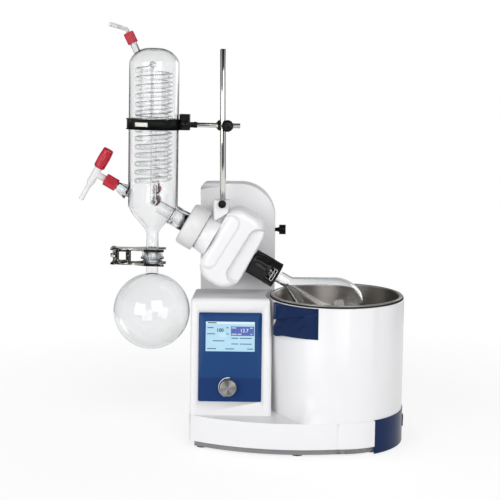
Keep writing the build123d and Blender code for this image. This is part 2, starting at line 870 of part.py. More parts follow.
def guide_rails():
    """Two ground steel rails standing on the deck."""
    rails = []
    for side in (-1, 1):
        place = Plane((tower_mid_x + side * guide_offset, guide_y, 0))
        rails.append(rod(guide_rod_r, deck_z, guide_top, place))
    return Compound(children=rails)


def lift_actuator():
    """Linear actuator on the deck: gear case, tube and the bush that its rod slides in."""
    place = Plane((tower_mid_x, guide_y, 0))
    body = rod(actuator_r, deck_z, actuator_top, place)
    half = 1.1 * actuator_r
    body += slab((tower_mid_x - 1.7 * actuator_r, tower_mid_x + 1.3 * actuator_r),
                 (guide_y - half, guide_y + half), (deck_z, lift_rod_low - shell_wall))
    body -= rod(lift_rod_r + 4, lift_rod_low - 2, actuator_top - 14, place)
    return body - rod(lift_rod_r + run_gap, lift_rod_low, actuator_top + over, place)


def lift_rod():
    """Rod of the actuator, under the tower's crosshead."""
    return rod(lift_rod_r, lift_rod_low, crosshead_z, Plane((tower_mid_x, guide_y, 0)))


def tilt_lock_knob():
    """Black lobed knob on the tower's side, with the stud that locks the tilt."""
    line = Plane(origin=(0, lock_y, lock_z), z_dir=(1, 0, 0))
    near = tower_right + lock_knob_near
    knob = lobed_knob(lock_knob_r, near, near + lock_knob_length, 12, line)
    knob += rod(5.2, near - 3, near, line)
    return knob + rod(lock_stud_r, pivot_x + 26, near, line)


# Drive head
def head_outline(inset):
    """Side view of the head in (u, p): a tall block with four large, unequal rounds."""
    corners = [
        (head_left_u + inset, head_top_p - inset),
        (head_right_top_u - inset, head_top_p - inset),
        (head_right_low_u - inset, head_low_p + inset),
        (head_left_u + inset, head_low_p + inset),
    ]
    rounds = [29 - inset, 39 - inset, 40 - inset, 38 - inset]
    return make_face(FilletPolyline(*corners, radius=rounds, close=True))


def recess_tool(u, p, half_width, inset):
    """Rounded cutter for one of the two long hollows in the head's front."""
    floor = head_half_depth - recess_depth - inset
    length = p[1] - p[0]
    shape = SlotOverall(length + 2 * inset, 2 * (half_width + inset), rotation=90)
    tool = extrude(Pos(u, (p[0] + p[1]) / 2, floor) * shape, recess_depth + inset + over)
    tool = fillet(tool.faces().sort_by(Axis.Z)[0].edges(), 7 + inset)
    return head_side * tool


def head_front_form(inset):
    """Front half of the head: a raised band between two long hollows."""
    depth = head_half_depth - inset
    low = 0 if inset == 0 else -over
    block = extrude(Pos(0, 0, low) * head_outline(inset), depth - low)
    block = fillet(block.faces().sort_by(Axis.Z)[-1].edges(), head_front_round - inset)
    form = head_side * block
    form -= recess_tool(-36.0, (-60.0, 68.0), 14.5, inset)
    return form - recess_tool(24.0, (-56.0, 66.0), 19.0, inset)


def head_front_cover():
    """White front half of the head."""
    cover = head_front_form(0) - head_front_form(shell_wall)
    return cover - rod(sleeve_r + 2, head_left_u - over, head_right_low_u + over, spin)


def head_rear_cover():
    """White rear half of the head, with the hole for the tilt hub."""
    depth = head_half_depth
    outer = extrude(head_outline(0), -depth)
    outer = fillet(outer.faces().sort_by(Axis.Z)[0].edges(), 16)
    inner = extrude(Pos(0, 0, over) * head_outline(shell_wall), shell_wall - depth - over)
    inner = fillet(inner.faces().sort_by(Axis.Z)[0].edges(), 13)
    cover = head_side * (outer - inner)
    cover -= rod(sleeve_r + 2, head_left_u - over, head_right_low_u + over, spin)
    pivot = Plane(origin=(pivot_x, 0, pivot_z), z_dir=(0, 1, 0))
    return cover - rod(tilt_hub_r + 0.5, depth - 2 * shell_wall, depth + over, pivot)


def head_frame():
    """Metal frame in the head: plate, bearing seat, motor bracket, hub and tilt shaft."""
    plate_y = head_half_depth - shell_wall - 5
    frame = head_side * raised(head_outline(plate_inset), -plate_y - 4, -plate_y)
    seat = rod(bearing_r + 3.5, bearing_near_u - 1.5, bearing_near_u + bearing_width, spin)
    arm = head_side * slab((bearing_near_u - 1.5, bearing_near_u + bearing_width - 6),
                           (-14, 14), (-plate_y, -bearing_r + 4))
    frame += seat + arm
    frame -= rod(bearing_r + run_gap, bearing_near_u, bearing_near_u + 2 * bearing_width, spin)
    frame -= rod(sleeve_r + 1, bearing_near_u - 3, bearing_near_u + over, spin)
    bracket = head_side * slab((motor_near_u, motor_near_u + 3), (motor_p - 19, motor_p + 20),
                               (-plate_y, motor_r + 1))
    frame += bracket - (spin_up(motor_p, rod(6, motor_near_u - over, motor_near_u + 4)))
    pivot = Plane(origin=(pivot_x, 0, pivot_z), z_dir=(0, 1, 0))
    frame += rod(tilt_hub_r, plate_y + 2, tilt_hub_end, pivot)
    return frame + rod(tilt_shaft_r, tilt_hub_end, tilt_shaft_end, pivot)


def spin_up(offset, shape):
    """A shape on an axis parallel to the rotation axis, a distance above it."""
    return spin * Pos(-offset, 0, 0) * shape


def head_motor():
    """Geared drive motor in the head's upper lobe."""
    motor = rod(motor_r, motor_far_u, motor_near_u)
    motor += rod(5.5, motor_near_u, motor_near_u + 2.5)
    return spin_up(motor_p, motor - rod(stud_r + run_gap, motor_near_u - 20, motor_near_u + 4))


def belt_pulley(groove_r, flange_r):
    """Flat-belt pulley with two flanges, along Z."""
    low, high = pulley_u, pulley_u + pulley_width
    edge = (pulley_width - belt_width) / 2 - 0.4
    return turned([
        (0, low), (flange_r, low), (flange_r, low + edge), (groove_r, low + edge),
        (groove_r, high - edge), (flange_r, high - edge), (flange_r, high), (0, high),
    ])


def motor_pulley():
    """Small pulley and its shaft in the motor."""
    shaft = rod(stud_r, motor_near_u - 18, pulley_u)
    return spin_up(motor_p, belt_pulley(motor_pulley_r, motor_flange_r) + shaft)


def drive_belt():
    """Flat belt round the two pulleys, just clear of both grooves."""
    def loop(extra):
        low = pulley_r + seat_gap + extra
        high = motor_pulley_r + seat_gap + extra
        lean_sine = (low - high) / motor_p
        lean_cosine = sqrt(1 - lean_sine**2)
        flank = make_face(Polyline(
            (-low * lean_sine, low * lean_cosine),
            (-motor_p - high * lean_sine, high * lean_cosine),
            (-motor_p - high * lean_sine, -high * lean_cosine),
            (-low * lean_sine, -low * lean_cosine),
            close=True,
        ))
        return flank + Circle(low) + Pos(-motor_p, 0) * Circle(high)
    band = loop(belt_thick) - loop(0)
    start = pulley_u + (pulley_width - belt_width) / 2
    return spin * extrude(Pos(0, 0, start) * band, belt_width)


def rotor_hub():
    """Drive sleeve with its belt pulley; it carries the vapour duct and the clip."""
    hub = rod(sleeve_r, sleeve_far_u, sleeve_near_u) + belt_pulley(pulley_r, pulley_flange_r)
    return spin * (hub - rod(duct_r + run_gap, sleeve_far_u - over, sleeve_near_u + over))


def main_bearings():
    """The two bearings of the rotor."""
    rings = [
        tube(bearing_r, sleeve_r + run_gap, start, start + bearing_width, spin)
        for start in (bearing_far_u, bearing_near_u)
    ]
    return Compound(children=rings)


def head_collar():
    """White collar between head and nut: bearing seat, step and threaded spigot."""
    u = head_left_u
    collar = turned([
        (0, spigot_u), (spigot_r - 1, spigot_u), (spigot_r, spigot_u + 1), (spigot_r, collar_u),
        (collar_r - 1, collar_u), (collar_r, collar_u + 1), (collar_r, -71), (collar_r + 1, -70),
        (collar_root_r, -60), (collar_root_r, u), (0, u),
    ])
    collar -= rod(sleeve_r + 3, spigot_u - over, u + over)
    return spin * (collar - rod(bearing_r + run_gap, bearing_far_u, u + over))


def vapour_seal():
    """Pale ring that seals the turning duct between collar and condenser."""
    return tube(stub_flange_r, duct_r + seat_gap, stub_end_u, spigot_u, spin)


def condenser_nut():
    """Translucent union nut that holds the condenser on the collar."""
    far, near = nut_far_u, nut_near_u
    nut = turned([
        (0, far), (nut_r - 5, far), (nut_r - 1.2, far + 2.6), (nut_r, far + 6), (nut_r, near - 1.5),
        (nut_r - 1.5, near), (0, near),
    ])
    nut -= rod(stub_r + 0.6, far - over, near + over)
    return spin * (nut - rod(spigot_r + 0.4, far + nut_wall, near + over))


# Flask side
def vapour_duct():
    """Glass duct through the head, with a ground cone for the flask."""
    bore = duct_r - duct_wall
    outline = [
        (bore, duct_far_u), (duct_r, duct_far_u), (duct_r, socket_u - 5), (cone_big_r, socket_u - 2),
        (cone_big_r, socket_u), (duct_r, socket_end_u), (bore, socket_end_u),
    ]
    return turned(outline, spin)


def flask_clip():
    """Black clip that screws on the sleeve and holds the flask's rim, with windows."""
    clip = turned([
        (0, clip_u), (clip_r - 1.2, clip_u), (clip_r, clip_u + 1.2), (clip_r, clip_u + 12),
        (clip_r - 0.7, clip_u + 14), (clip_r - 0.7, clip_u + 20), (clip_r, clip_u + 22),
        (clip_r, clip_end_u - 1.5), (clip_r - 1.5, clip_end_u), (0, clip_end_u),
    ])
    clip -= rod(sleeve_r + run_gap, clip_u - over, sleeve_near_u + 0.5)
    clip -= rod(clip_bore_r, sleeve_near_u + 0.4, clip_end_u - 3)
    clip -= rod(socket_outer_r + 0.5, clip_end_u - 4, clip_end_u + over)
    for i in range(3):
        window = slab((clip_bore_r - 4, clip_r + over), (-13, 13),
                      (clip_window_u, clip_window_u + clip_window_length))
        clip -= Rot(0, 0, 90 + 120 * i) * window
    return spin * clip


def clip_springs():
    """Two steel spring rings that grip the flask's neck, seen through the windows."""
    rings = []
    for i in range(2):
        middle = clip_window_u + clip_window_length * (0.3 + 0.4 * i)
        w = spring_wire
        inner = socket_outer_r + 0.15
        rings.append(turned([
            (inner, middle - w / 2), (inner + w / 2, middle - w), (inner + 2 * w, middle - w),
            (inner + 2.5 * w, middle), (inner + 2 * w, middle + w), (inner + w / 2, middle + w),
            (inner, middle + w / 2),
        ], spin))
    return Compound(children=rings)


def pear(inset):
    """Outline of the pear flask in (radius, u): neck, cone and ball, drawn in by an inset."""
    slope = radians(flask_cone)
    ball = flask_r - inset
    meet_r = ball * cos(slope)
    meet_u = flask_centre_u - ball * sin(slope)
    neck = flask_neck_r - inset
    cone_u = meet_u - (meet_r - neck) / (sin(slope) / cos(slope))
    return ball, meet_r, meet_u, neck, cone_u


def evaporating_flask():
    """Pear-shaped glass flask with a ground socket and a rim."""
    ball, meet_r, meet_u, neck, cone_u = pear(0)
    far = flask_centre_u + ball
    side = (flask_centre_u + ball * sin(radians(30)), ball * cos(radians(30)))
    outer = (
        Line((0, socket_u), (socket_rim_r, socket_u))
        + Line((socket_rim_r, socket_u), (socket_rim_r, socket_u + 4))
        + Line((socket_rim_r, socket_u + 4), (socket_outer_r, socket_u + 6))
        + Line((socket_outer_r, socket_u + 6), (socket_outer_r, socket_end_u))
        + Line((socket_outer_r, socket_end_u), (neck, socket_end_u + 6))
        + Line((neck, socket_end_u + 6), (neck, cone_u))
        + Line((neck, cone_u), (meet_r, meet_u))
        + ThreePointArc((meet_r, meet_u), (side[1], side[0]), (0, far))
        + Line((0, far), (0, socket_u))
    )
    ball, meet_r, meet_u, neck, cone_u = pear(glass_wall)
    side = (flask_centre_u + ball * sin(radians(30)), ball * cos(radians(30)))
    inner = (
        Line((0, socket_u - over), (cone_big_r + 0.1, socket_u - over))
        + Line((cone_big_r + 0.1, socket_u - over), (cone_big_r + 0.1, socket_u))
        + Line((cone_big_r + 0.1, socket_u), (duct_r + 0.1, socket_end_u + 1))
        + Line((duct_r + 0.1, socket_end_u + 1), (neck, socket_end_u + 6))
        + Line((neck, socket_end_u + 6), (neck, cone_u))
        + Line((neck, cone_u), (meet_r, meet_u))
        + ThreePointArc((meet_r, meet_u), (side[1], side[0]), (0, flask_centre_u + ball))
        + Line((0, flask_centre_u + ball), (0, socket_u - over))
    )
    return turned_curve(outer, spin) - turned_curve(inner, spin)


# Condenser
def condenser_body(inset):
    """Block of the condenser: dome, jacket, two cones and the outlet tube."""
    r = condenser_r - inset
    high = condenser_top_t - inset
    shoulder = condenser_shoulder_t
    low = condenser_low_t - 0.4 * inset
    outlet_end = ball_t + ball_r - 2 if inset == 0 else ball_t - over
    rise = high - shoulder
    return turned_curve(
        Line((0, high), (0, outlet_end))
        + Line((0, outlet_end), (outlet_r - inset, outlet_end))
        + Line((outlet_r - inset, outlet_end), (outlet_r - inset, outlet_t))
        + Line((outlet_r - inset, outlet_t), (cone_low_r - inset, cone_low_t))
        + Line((cone_low_r - inset, cone_low_t), (cone_mid_r - inset, cone_mid_t))
        + Line((cone_mid_r - inset, cone_mid_t), (r, low))
        + Line((r, low), (r, shoulder))
        + ThreePointArc((r, shoulder), (0.74 * r, shoulder + 0.7 * rise), (0, high)),
        upright,
    )


def ball_cup():
    """Female half of the spherical joint at the condenser's outlet."""
    lift = sqrt(cup_r**2 - outlet_r**2)
    rim_r = cup_r + 2.5
    return turned_curve(
        Line((0, ball_t + lift), (outlet_r, ball_t + lift))
        + ThreePointArc((outlet_r, ball_t + lift), (cup_r * cos(radians(35)),
                        ball_t + cup_r * sin(radians(35))), (cup_r, ball_t))
        + Line((cup_r, ball_t), (rim_r, ball_t - 1))
        + Line((rim_r, ball_t - 1), (rim_r, ball_t - 4))
        + Line((rim_r, ball_t - 4), (0, ball_t - 4))
        + Line((0, ball_t - 4), (0, ball_t + lift)),
        upright,
    )


def back_port(t):
    """Line that points back out of the condenser's wall at a height t."""
    foot = upright.from_local_coords(Vector(0, 0, t))
    return Plane(origin=foot, x_dir=(1, 0, 0), z_dir=(0, 1, 0))


def condenser():
    """Glass condenser: jacket, vapour stub, vent neck, feed neck, water necks and cup."""
    wall = glass_wall
    feed_root = -valve_leg - 20
    body = condenser_body(0) + ball_cup()
    body += rod(stub_r, -190, stub_end_u, spin)
    body += rod(stub_flange_r, stub_flange_u, stub_end_u, spin)
    body += rod(stub_r + 0.8, weld_u - 1, weld_u + 1, spin)
    body += rod(vent_neck_r, -14, vent_neck_end, vent_line)
    body += feed_line * Pos(0, 0, -28) * Cone(feed_tube_r + 7, feed_tube_r, 24)
    body += rod(feed_tube_r, feed_root, 4, feed_line)
    for t in (coil_port_high_t, coil_port_low_t):
        body += rod(port_tube_r, condenser_r - 6, port_end_y, back_port(t))
    body -= condenser_body(wall)
    body -= upright * Pos(0, 0, ball_t) * Sphere(ball_r + ball_gap)
    body -= rod(ball_r + ball_gap, ball_t - 5, ball_t, upright)
    body -= rod(stub_r - wall, -190, stub_end_u + over, spin)
    body -= rod(vent_neck_r - wall, -20, vent_neck_end + over, vent_line)
    body -= rod(feed_tube_r - wall, feed_root, 5, feed_line)
    for t in (coil_port_high_t, coil_port_low_t):
        body -= rod(coil_tube_r + run_gap, condenser_r - 12, port_end_y + over, back_port(t))
    return max(body.solids(), key=lambda s: s.volume)


def condenser_coil():
    """Glass cooling coil with its return tube and the two runs to the water necks."""
    section = RegularPolygon(coil_tube_r, 6, major_radius=True)
    height = coil_pitch * coil_turns
    top_t = coil_low_t + height
    path = Helix(pitch=coil_pitch, height=height, radius=coil_r)
    begin = Plane(origin=path @ 0, z_dir=path % 0)
    helix = sweep(begin * section, path=path, is_frenet=True)
    helix = Rot(0, 0, 90) * Pos(0, 0, coil_low_t) * helix
    end_angle = radians(90 + 360 * coil_turns)
    end = (coil_r * cos(end_angle), coil_r * sin(end_angle))
    port_run = port_end_y - 8
    down = Polyline((0, coil_r, coil_low_t), (0, coil_r, coil_port_high_t),
                    (0, port_run, coil_port_high_t))
    back = Polyline((end[0], end[1], top_t), (end[0], end[1], top_t + 9), (0, 0, top_t + 9),
                    (0, 0, coil_port_low_t), (0, port_run, coil_port_low_t))
    coil = helix
    for route in (down, back):
        start = Plane(origin=route @ 0, z_dir=route % 0)
        coil += sweep(start * section, path=route, transition=Transition.RIGHT)
    return upright * coil


def screw_cap(radius, low, high, neck_r, hole_r, frame):
    """Screw cap over a neck, with a hole in its top."""
    body = turned([
        (0, low), (radius, low), (radius, high - 1), (radius - 1, high), (0, high),
    ])
    body -= rod(neck_r + 0.1, low - over, high - cap_top)
    return frame * (body - rod(hole_r + 0.1, low, high + over))


def screw_caps():
    """Red screw caps on the vent, the feed neck and the two water necks."""
    half = vent_cap_length / 2
    caps = [
        screw_cap(cap_small_r, vent_cap_distance - half, vent_cap_distance + half,
                  vent_neck_r, tail_r, vent_line),
        screw_cap(feed_cap_r, -feed_cap_length / 2, feed_cap_length / 2,
                  feed_tube_r, valve_leg_r, feed_line),
    ]
    for t in (coil_port_high_t, coil_port_low_t):
        caps.append(screw_cap(cap_small_r, port_cap_y, port_cap_y + cap_small_length,
                              port_tube_r, tail_r, back_port(t)))
    return Compound(children=caps)


def barbs(start, high):
    """Corners of a thin tube from a start to the end of its three barbs."""
    steps = [(tail_r, start), (tail_r, high - barb_length)]
    for i in range(3):
        foot = high - barb_length + i * barb_length / 3
        steps += [(tail_r + 1, foot), (tail_r - 0.4, foot + barb_length / 3)]
    return steps + [(0, high)]


def tail_foot(low, high):
    """Corners of the flange that a screw cap presses on its neck."""
    outer = cap_small_hole - 0.4
    return [(0, low), (outer, low), (outer, high)]


def hose_tails():
    """Elbow on the vent and straight tails on the two water necks."""
    cap_end = vent_cap_distance + vent_cap_length / 2
    low = vent_neck_end + seat_gap
    knee_at = cap_end + vent_knee
    knee = vent_line.from_local_coords(Vector(0, 0, knee_at))
    run = Vector(vent_tip_x, 0, vent_tip_z) - knee
    arm = Plane(origin=knee, x_dir=(0, 1, 0), z_dir=run)
    foot = tail_foot(low, cap_end - cap_top - seat_gap)
    elbow = turned(foot + [(tail_r, foot[-1][1]), (tail_r, knee_at), (0, knee_at)], vent_line)
    elbow += Pos(knee) * Sphere(tail_r) + turned([(0, 0)] + barbs(0, run.length), arm)
    elbow -= rod(tail_bore_r, low - over, knee_at, vent_line)
    elbow -= rod(tail_bore_r, 0, run.length + over, arm)
    tails = [elbow]
    for t in (coil_port_high_t, coil_port_low_t):
        low = port_end_y + seat_gap
        high = port_cap_y + cap_small_length - cap_top - seat_gap
        tail_end = port_end_y + port_tail_length
        tail = turned(tail_foot(low, high) + barbs(high, tail_end), back_port(t))
        tails.append(tail - rod(tail_bore_r, low - over, tail_end + over, back_port(t)))
    return Compound(children=tails)


def feed_valve_body():
    """Plastic stopcock body: leg into the cap, barrel and hose tail."""
    r = valve_body_r
    barrel = turned([
        (0, valve_tail_end), (valve_tail_r, valve_tail_end), (valve_tail_r, valve_body_low - 7),
        (r, valve_body_low + 3), (r, valve_knob_low - 1), (0, valve_knob_low - 1),
    ], valve_line)
    leg = rod(valve_leg_r, 4.2, valve_leg, feed_line)
    body = barrel + leg
    body -= rod(stud_r + run_gap, -6, valve_knob_low + over, valve_line)
    body -= rod(tail_bore_r, valve_tail_end - over, -8, valve_line)
    return body - rod(3.0, 6, valve_leg - r, feed_line)


def valve_knob():
    """Red ribbed knob of the stopcock with its spindle."""
    low, high = valve_knob_low, valve_knob_high
    r = valve_knob_r
    knob = turned([
        (0, low), (r - 1.8, low), (r - 0.6, low + 2), (r, (low + high) / 2), (r - 1.2, high - 2),
        (r - 2.6, high), (0, high),
    ])
    for i in range(12):
        groove = Rot(0, 0, 30 * i) * Pos(r + 0.5, 0, 0) * rod(1.3, low - over, high - 3)
        knob -= groove
    return valve_line * (knob + rod(stud_r, -4, low))


# Receiver and its clamp
def receiving_flask():
    """Round glass receiving flask with the male half of the spherical joint."""
    def globe(ball, neck, top):
        drop = sqrt(ball**2 - neck**2)
        return turned_curve(
            Line((0, top), (neck, top)) + Line((neck, top), (neck, receiver_t + drop))
            + ThreePointArc((neck, receiver_t + drop), (ball, receiver_t), (0, receiver_t - ball))
            + Line((0, receiver_t - ball), (0, top)),
            upright,
        )
    joint = upright * Pos(0, 0, ball_t) * Sphere(ball_r)
    joint &= rod(2 * ball_r, ball_t - ball_r, ball_t + 14, upright)
    bead = turned([(0, bead_high_t + 3), (bead_r - 3, bead_high_t + 2), (bead_r, bead_high_t),
                   (receiver_neck_r + 1, bead_low_t), (0, bead_low_t)], upright)
    flask = globe(receiver_r, receiver_neck_r, ball_t - 8) + joint + bead
    flask -= globe(receiver_r - glass_wall, receiver_neck_r - glass_wall, ball_t - 12)
    return flask - rod(joint_bore_r, ball_t - 13, ball_t + 20, upright)


def fork_outline(inset):
    """Outline of one clamp sheet: a tongue that widens to the two prongs' outer sides."""
    wide = fork_half_width - inset
    half = fork_tongue_half - inset
    near, far = fork_prong_x + (over if inset else 0), fork_end_x - (over if inset else 0)
    return make_face(Polyline(
        (far, -half), (fork_root_x, -half), (-fork_slot_half, -wide), (near, -wide),
        (near, wide), (-fork_slot_half, wide), (fork_root_x, half), (far, half), close=True))


def joint_clamp():
    """Chromed fork clamp: two sheets with bent edges, joined by a box-shaped web."""
    slot = Circle(fork_slot_half) + Pos(fork_prong_x, 0) * Rectangle(
        2 * fork_prong_x, 2 * fork_slot_half)
    sheet = fork_outline(0) - slot
    edge = fork_outline(0) - fork_outline(fork_sheet)
    top = fork_top_t
    low = bead_low_t
    clamp = extrude(Pos(0, 0, top - fork_sheet) * sheet, fork_sheet)
    clamp += extrude(Pos(0, 0, low - fork_sheet) * sheet, fork_sheet)
    clamp += extrude(Pos(0, 0, top - fork_edge) * edge, fork_edge)
    clamp += extrude(Pos(0, 0, low - fork_sheet) * edge, fork_edge)
    half = fork_tongue_half
    web = slab((fork_web_far, fork_web_near), (-half, half), (low, top - fork_sheet))
    web -= slab((fork_web_far - over, fork_web_near + over), (-half + 1.5, half - 1.5),
                (low, top - fork_sheet))
    web -= slab((fork_web_far + 5, fork_web_near - 8), (-half - over, half + over),
                (low + 6, top - fork_sheet - 6))
    clamp += web
    return upright * (clamp - rod(stud_r + run_gap, low - 3, top + over,
                                  Plane((clamp_screw_x, 0, 0))))


def clamp_screw():
    """Thumb screw of the fork clamp with a knurled wheel between the sheets."""
    line = Plane((clamp_screw_x, 0, 0))
    middle = (fork_top_t + bead_low_t) / 2
    screw = rod(stud_r, bead_low_t - 4, fork_top_t + 2, line)
    screw += rod(4.5, fork_top_t + 0.3, fork_top_t + 2.5, line)
    wheel = RegularPolygon(7.0, 14)
    return upright * (screw + line * extrude(Pos(0, 0, middle - 4) * wheel, 8))


# Support rods
def rod_holder():
    """White block on the collar that grips the support rod."""
    block = slab((holder_left, holder_right), (-holder_half_depth, holder_half_depth),
                 (pivot_z + 40, holder_top))
    block = fillet(block.edges().filter_by(Axis.Z), 3)
    block -= rod(collar_root_r + 0.1, collar_u - 40, head_left_u + over, spin)
    block -= head_side * extrude(
        Pos(head_left_u + 200 - seat_gap, 0, -head_half_depth) * Rectangle(400, 400),
        2 * head_half_depth)
    block -= rod(rod_r + run_gap, rod_low, holder_top + over, Plane((rod_x, 0, 0)))
    front = Plane(origin=(rod_x, 0, holder_knob_z), z_dir=(0, -1, 0))
    block -= rod(stud_r + run_gap, rod_r - 2, holder_half_depth + over, front)
    return max(block.solids(), key=lambda s: s.volume)


def support_rod():
    """Upright steel rod with rounded ends."""
    r = rod_r
    return turned([(0, rod_low), (r - 1, rod_low), (r, rod_low + 1), (r, rod_top - 1.5),
                   (r - 1.5, rod_top), (0, rod_top)], Plane((rod_x, 0, 0)))


def rod_holder_knob():
    """Small black screw knob on the holder's front."""
    front = Plane(origin=(rod_x, 0, holder_knob_z), z_dir=(0, -1, 0))
    near = holder_half_depth + 0.4
    knob = lobed_knob(holder_knob_r, near, near + 10, 12, front)
    return knob + rod(stud_r, rod_r + seat_gap, near, front)


ring_shift = ring_t * sin(radians(lean))
ring_x = cross_x + ring_shift
bar_line = upright * Plane(origin=(0, bar_y, ring_t), x_dir=(0, 1, 0), z_dir=(1, 0, 0))


def boss_head():
    """Black boss head behind the support rod, holding rod and cross bar."""
    boss_top = boss_low + boss_height
    boss = slab((boss_left, boss_right), (boss_front, boss_back), (boss_low, boss_top))
    boss = fillet(boss.edges().filter_by(Axis.Z), 2.5)
    boss -= rod(rod_r + run_gap, boss_low - over, boss_top + over, Plane((rod_x, 0, 0)))
    boss -= rod(bar_r + run_gap, 100, 200, bar_line)
    middle = boss_low + boss_height / 2
    front = Plane(origin=(boss_knob_x, 0, middle), z_dir=(0, -1, 0))
    rear = Plane(origin=(boss_left + 6.1, 0, middle), z_dir=(0, 1, 0))
    boss -= rod(stud_r + run_gap, -8, over, front)
    return boss - rod(stud_r + run_gap, bar_y + bar_r, boss_back + over, rear)


def boss_knob_front():
    """Screw knob that presses the boss head on the upright rod."""
    middle = boss_low + boss_height / 2
    front = Plane(origin=(boss_knob_x, 0, middle), z_dir=(0, -1, 0))
    near = rod_r + 1.2
    knob = lobed_knob(screw_knob_r, near, near + screw_knob_thick, 14, front)
    return knob + rod(stud_r, -7, near, front)


def boss_knob_rear():
    """Screw knob behind the boss head that grips the cross bar."""
    middle = boss_low + boss_height / 2
    rear = Plane(origin=(boss_left + 6.1, 0, middle), z_dir=(0, 1, 0))
    near = boss_back + 0.5
    knob = lobed_knob(screw_knob_r, near, near + screw_knob_thick, 14, rear)
    return knob + rod(stud_r, bar_y + bar_r + 0.4, near, rear)


def clamp_bar():
    """Thin cross bar between the boss head and the ring clamp."""
    return rod(bar_r, bar_near_x - ring_x, bar_end_x - ring_x, bar_line)


def ring_clamp():
    """Black channel ring round the condenser, with slots, tab and socket for the bar."""
    half = ring_height / 2
    flange = half - ring_flange_thick
    web = ring_web_r + ring_web_thick
    ring = turned([
        (ring_web_r, -half), (ring_flange_r, -half), (ring_flange_r, -flange), (web, -flange),
        (web, flange), (ring_flange_r, flange), (ring_flange_r, half), (ring_web_r, half),
    ])
    for angle in (22, 112, 202):
        slot = slab((-15, 15), (-ring_flange_r - over, -ring_web_r + 6), (-4.2, 4.2))
        ring -= Rot(0, 0, -angle) * slot
    near = bar_near_x - ring_x
    tab = slab((tab_left - ring_x, tab_right - ring_x), (tab_front, tab_back),
               (-half, tab_top - cross_z - ring_t))
    tab += slab((tab_right - ring_x - 0.1, near + 3), (bar_y - bar_r - 1.2, tab_back),
                (-socket_root_half, socket_root_half))
    tab -= rod(ring_web_r + 0.5, -2 * half, 4 * half)
    body = upright * Pos(0, 0, ring_t) * (ring + tab)
    body += bar_line * Pos(0, 0, near + 6) * Cone(bar_r + 1.8, bar_r + 0.8, 6)
    body -= rod(bar_r + run_gap, near, near + 20, bar_line)
    return body - rod(stud_r + run_gap, -tab_back, -tab_front + over, ring_screw_line)


ring_knob_x = -230.6
ring_screw_line = Plane(
    origin=upright.from_local_coords(Vector(ring_knob_x - ring_x, 0, ring_t)),
    z_dir=(0, -1, 0),
)


def ring_clamp_knob():
    """Screw knob that closes the ring clamp."""
    near = -tab_front + 0.4
    knob = lobed_knob(ring_knob_r, near, near + screw_knob_thick, 13, ring_screw_line)
    return knob + rod(stud_r, -8, near, ring_screw_line)


def ring_liner():
    """Pale liner between ring and glass."""
    half = ring_height / 2 - 0.5
    return tube(ring_web_r - run_gap, condenser_r + liner_gap, ring_t - half, ring_t + half, upright)


nodes = {
    "base_cover": base_cover,
    "base_plate": base_plate,
    "rubber_feet": rubber_feet,
    "side_cover": side_cover,
    "power_switch_frame": power_switch_frame,
    "power_rocker": power_rocker,
    "mains_inlet": mains_inlet,
    "bath_jacket": bath_jacket,
    "bath_vessel": bath_vessel,
    "bath_seam_ring": bath_seam_ring,
    "bath_heater": bath_heater,
    "bath_handles": bath_handles,
    "control_housing": control_housing,
    "control_panel": control_panel,
    "display_screen": display_screen,
    "control_board": control_board,
    "encoder_stem": encoder_stem,
    "encoder_knob": encoder_knob,
    "rear_cover": rear_cover,
    "guide_rails": guide_rails,
    "lift_actuator": lift_actuator,
    "tower_cover": tower_cover,
    "tower_frame": tower_frame,
    "guide_bushes": guide_bushes,
    "lift_rod": lift_rod,
    "tilt_lock_knob": tilt_lock_knob,
    "head_front_cover": head_front_cover,
    "head_rear_cover": head_rear_cover,
    "head_frame": head_frame,
    "head_motor": head_motor,
    "motor_pulley": motor_pulley,
    "drive_belt": drive_belt,
    "main_bearings": main_bearings,
    "head_collar": head_collar,
    "vapour_seal": vapour_seal,
    "condenser_nut": condenser_nut,
    "rotor_hub": rotor_hub,
    "vapour_duct": vapour_duct,
    "flask_clip": flask_clip,
    "clip_springs": clip_springs,
    "evaporating_flask": evaporating_flask,
    "condenser": condenser,
    "condenser_coil": condenser_coil,
    "screw_caps": screw_caps,
    "hose_tails": hose_tails,
    "feed_valve_body": feed_valve_body,
    "valve_knob": valve_knob,
    "receiving_flask": receiving_flask,
    "joint_clamp": joint_clamp,
    "clamp_screw": clamp_screw,
    "rod_holder": rod_holder,
    "rod_holder_knob": rod_holder_knob,
    "support_rod": support_rod,
    "boss_head": boss_head,
    "boss_knob_front": boss_knob_front,
    "boss_knob_rear": boss_knob_rear,
    "clamp_bar": clamp_bar,
    "ring_clamp": ring_clamp,
    "ring_clamp_knob": ring_clamp_knob,
    "ring_liner": ring_liner,
}

os.makedirs("parts", exist_ok=True)
for name, make in nodes.items():
    export_step(make(), f"parts/{name}.step")
    print(name)
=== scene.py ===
# %% [markdown]
# # A bench rotary evaporator, dressed for the camera
# The solids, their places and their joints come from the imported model. This file
# gives each of them its finish, and builds again, in finer mesh, the pieces whose
# faces are too coarse for glass, ribs and polished metal. Everything is in metres
# in the model's own frame, so a piece goes where the model says.

# %% Load the frame
import json
import math

import bmesh
import bpy
import numpy as np
from mathutils import Matrix, Vector


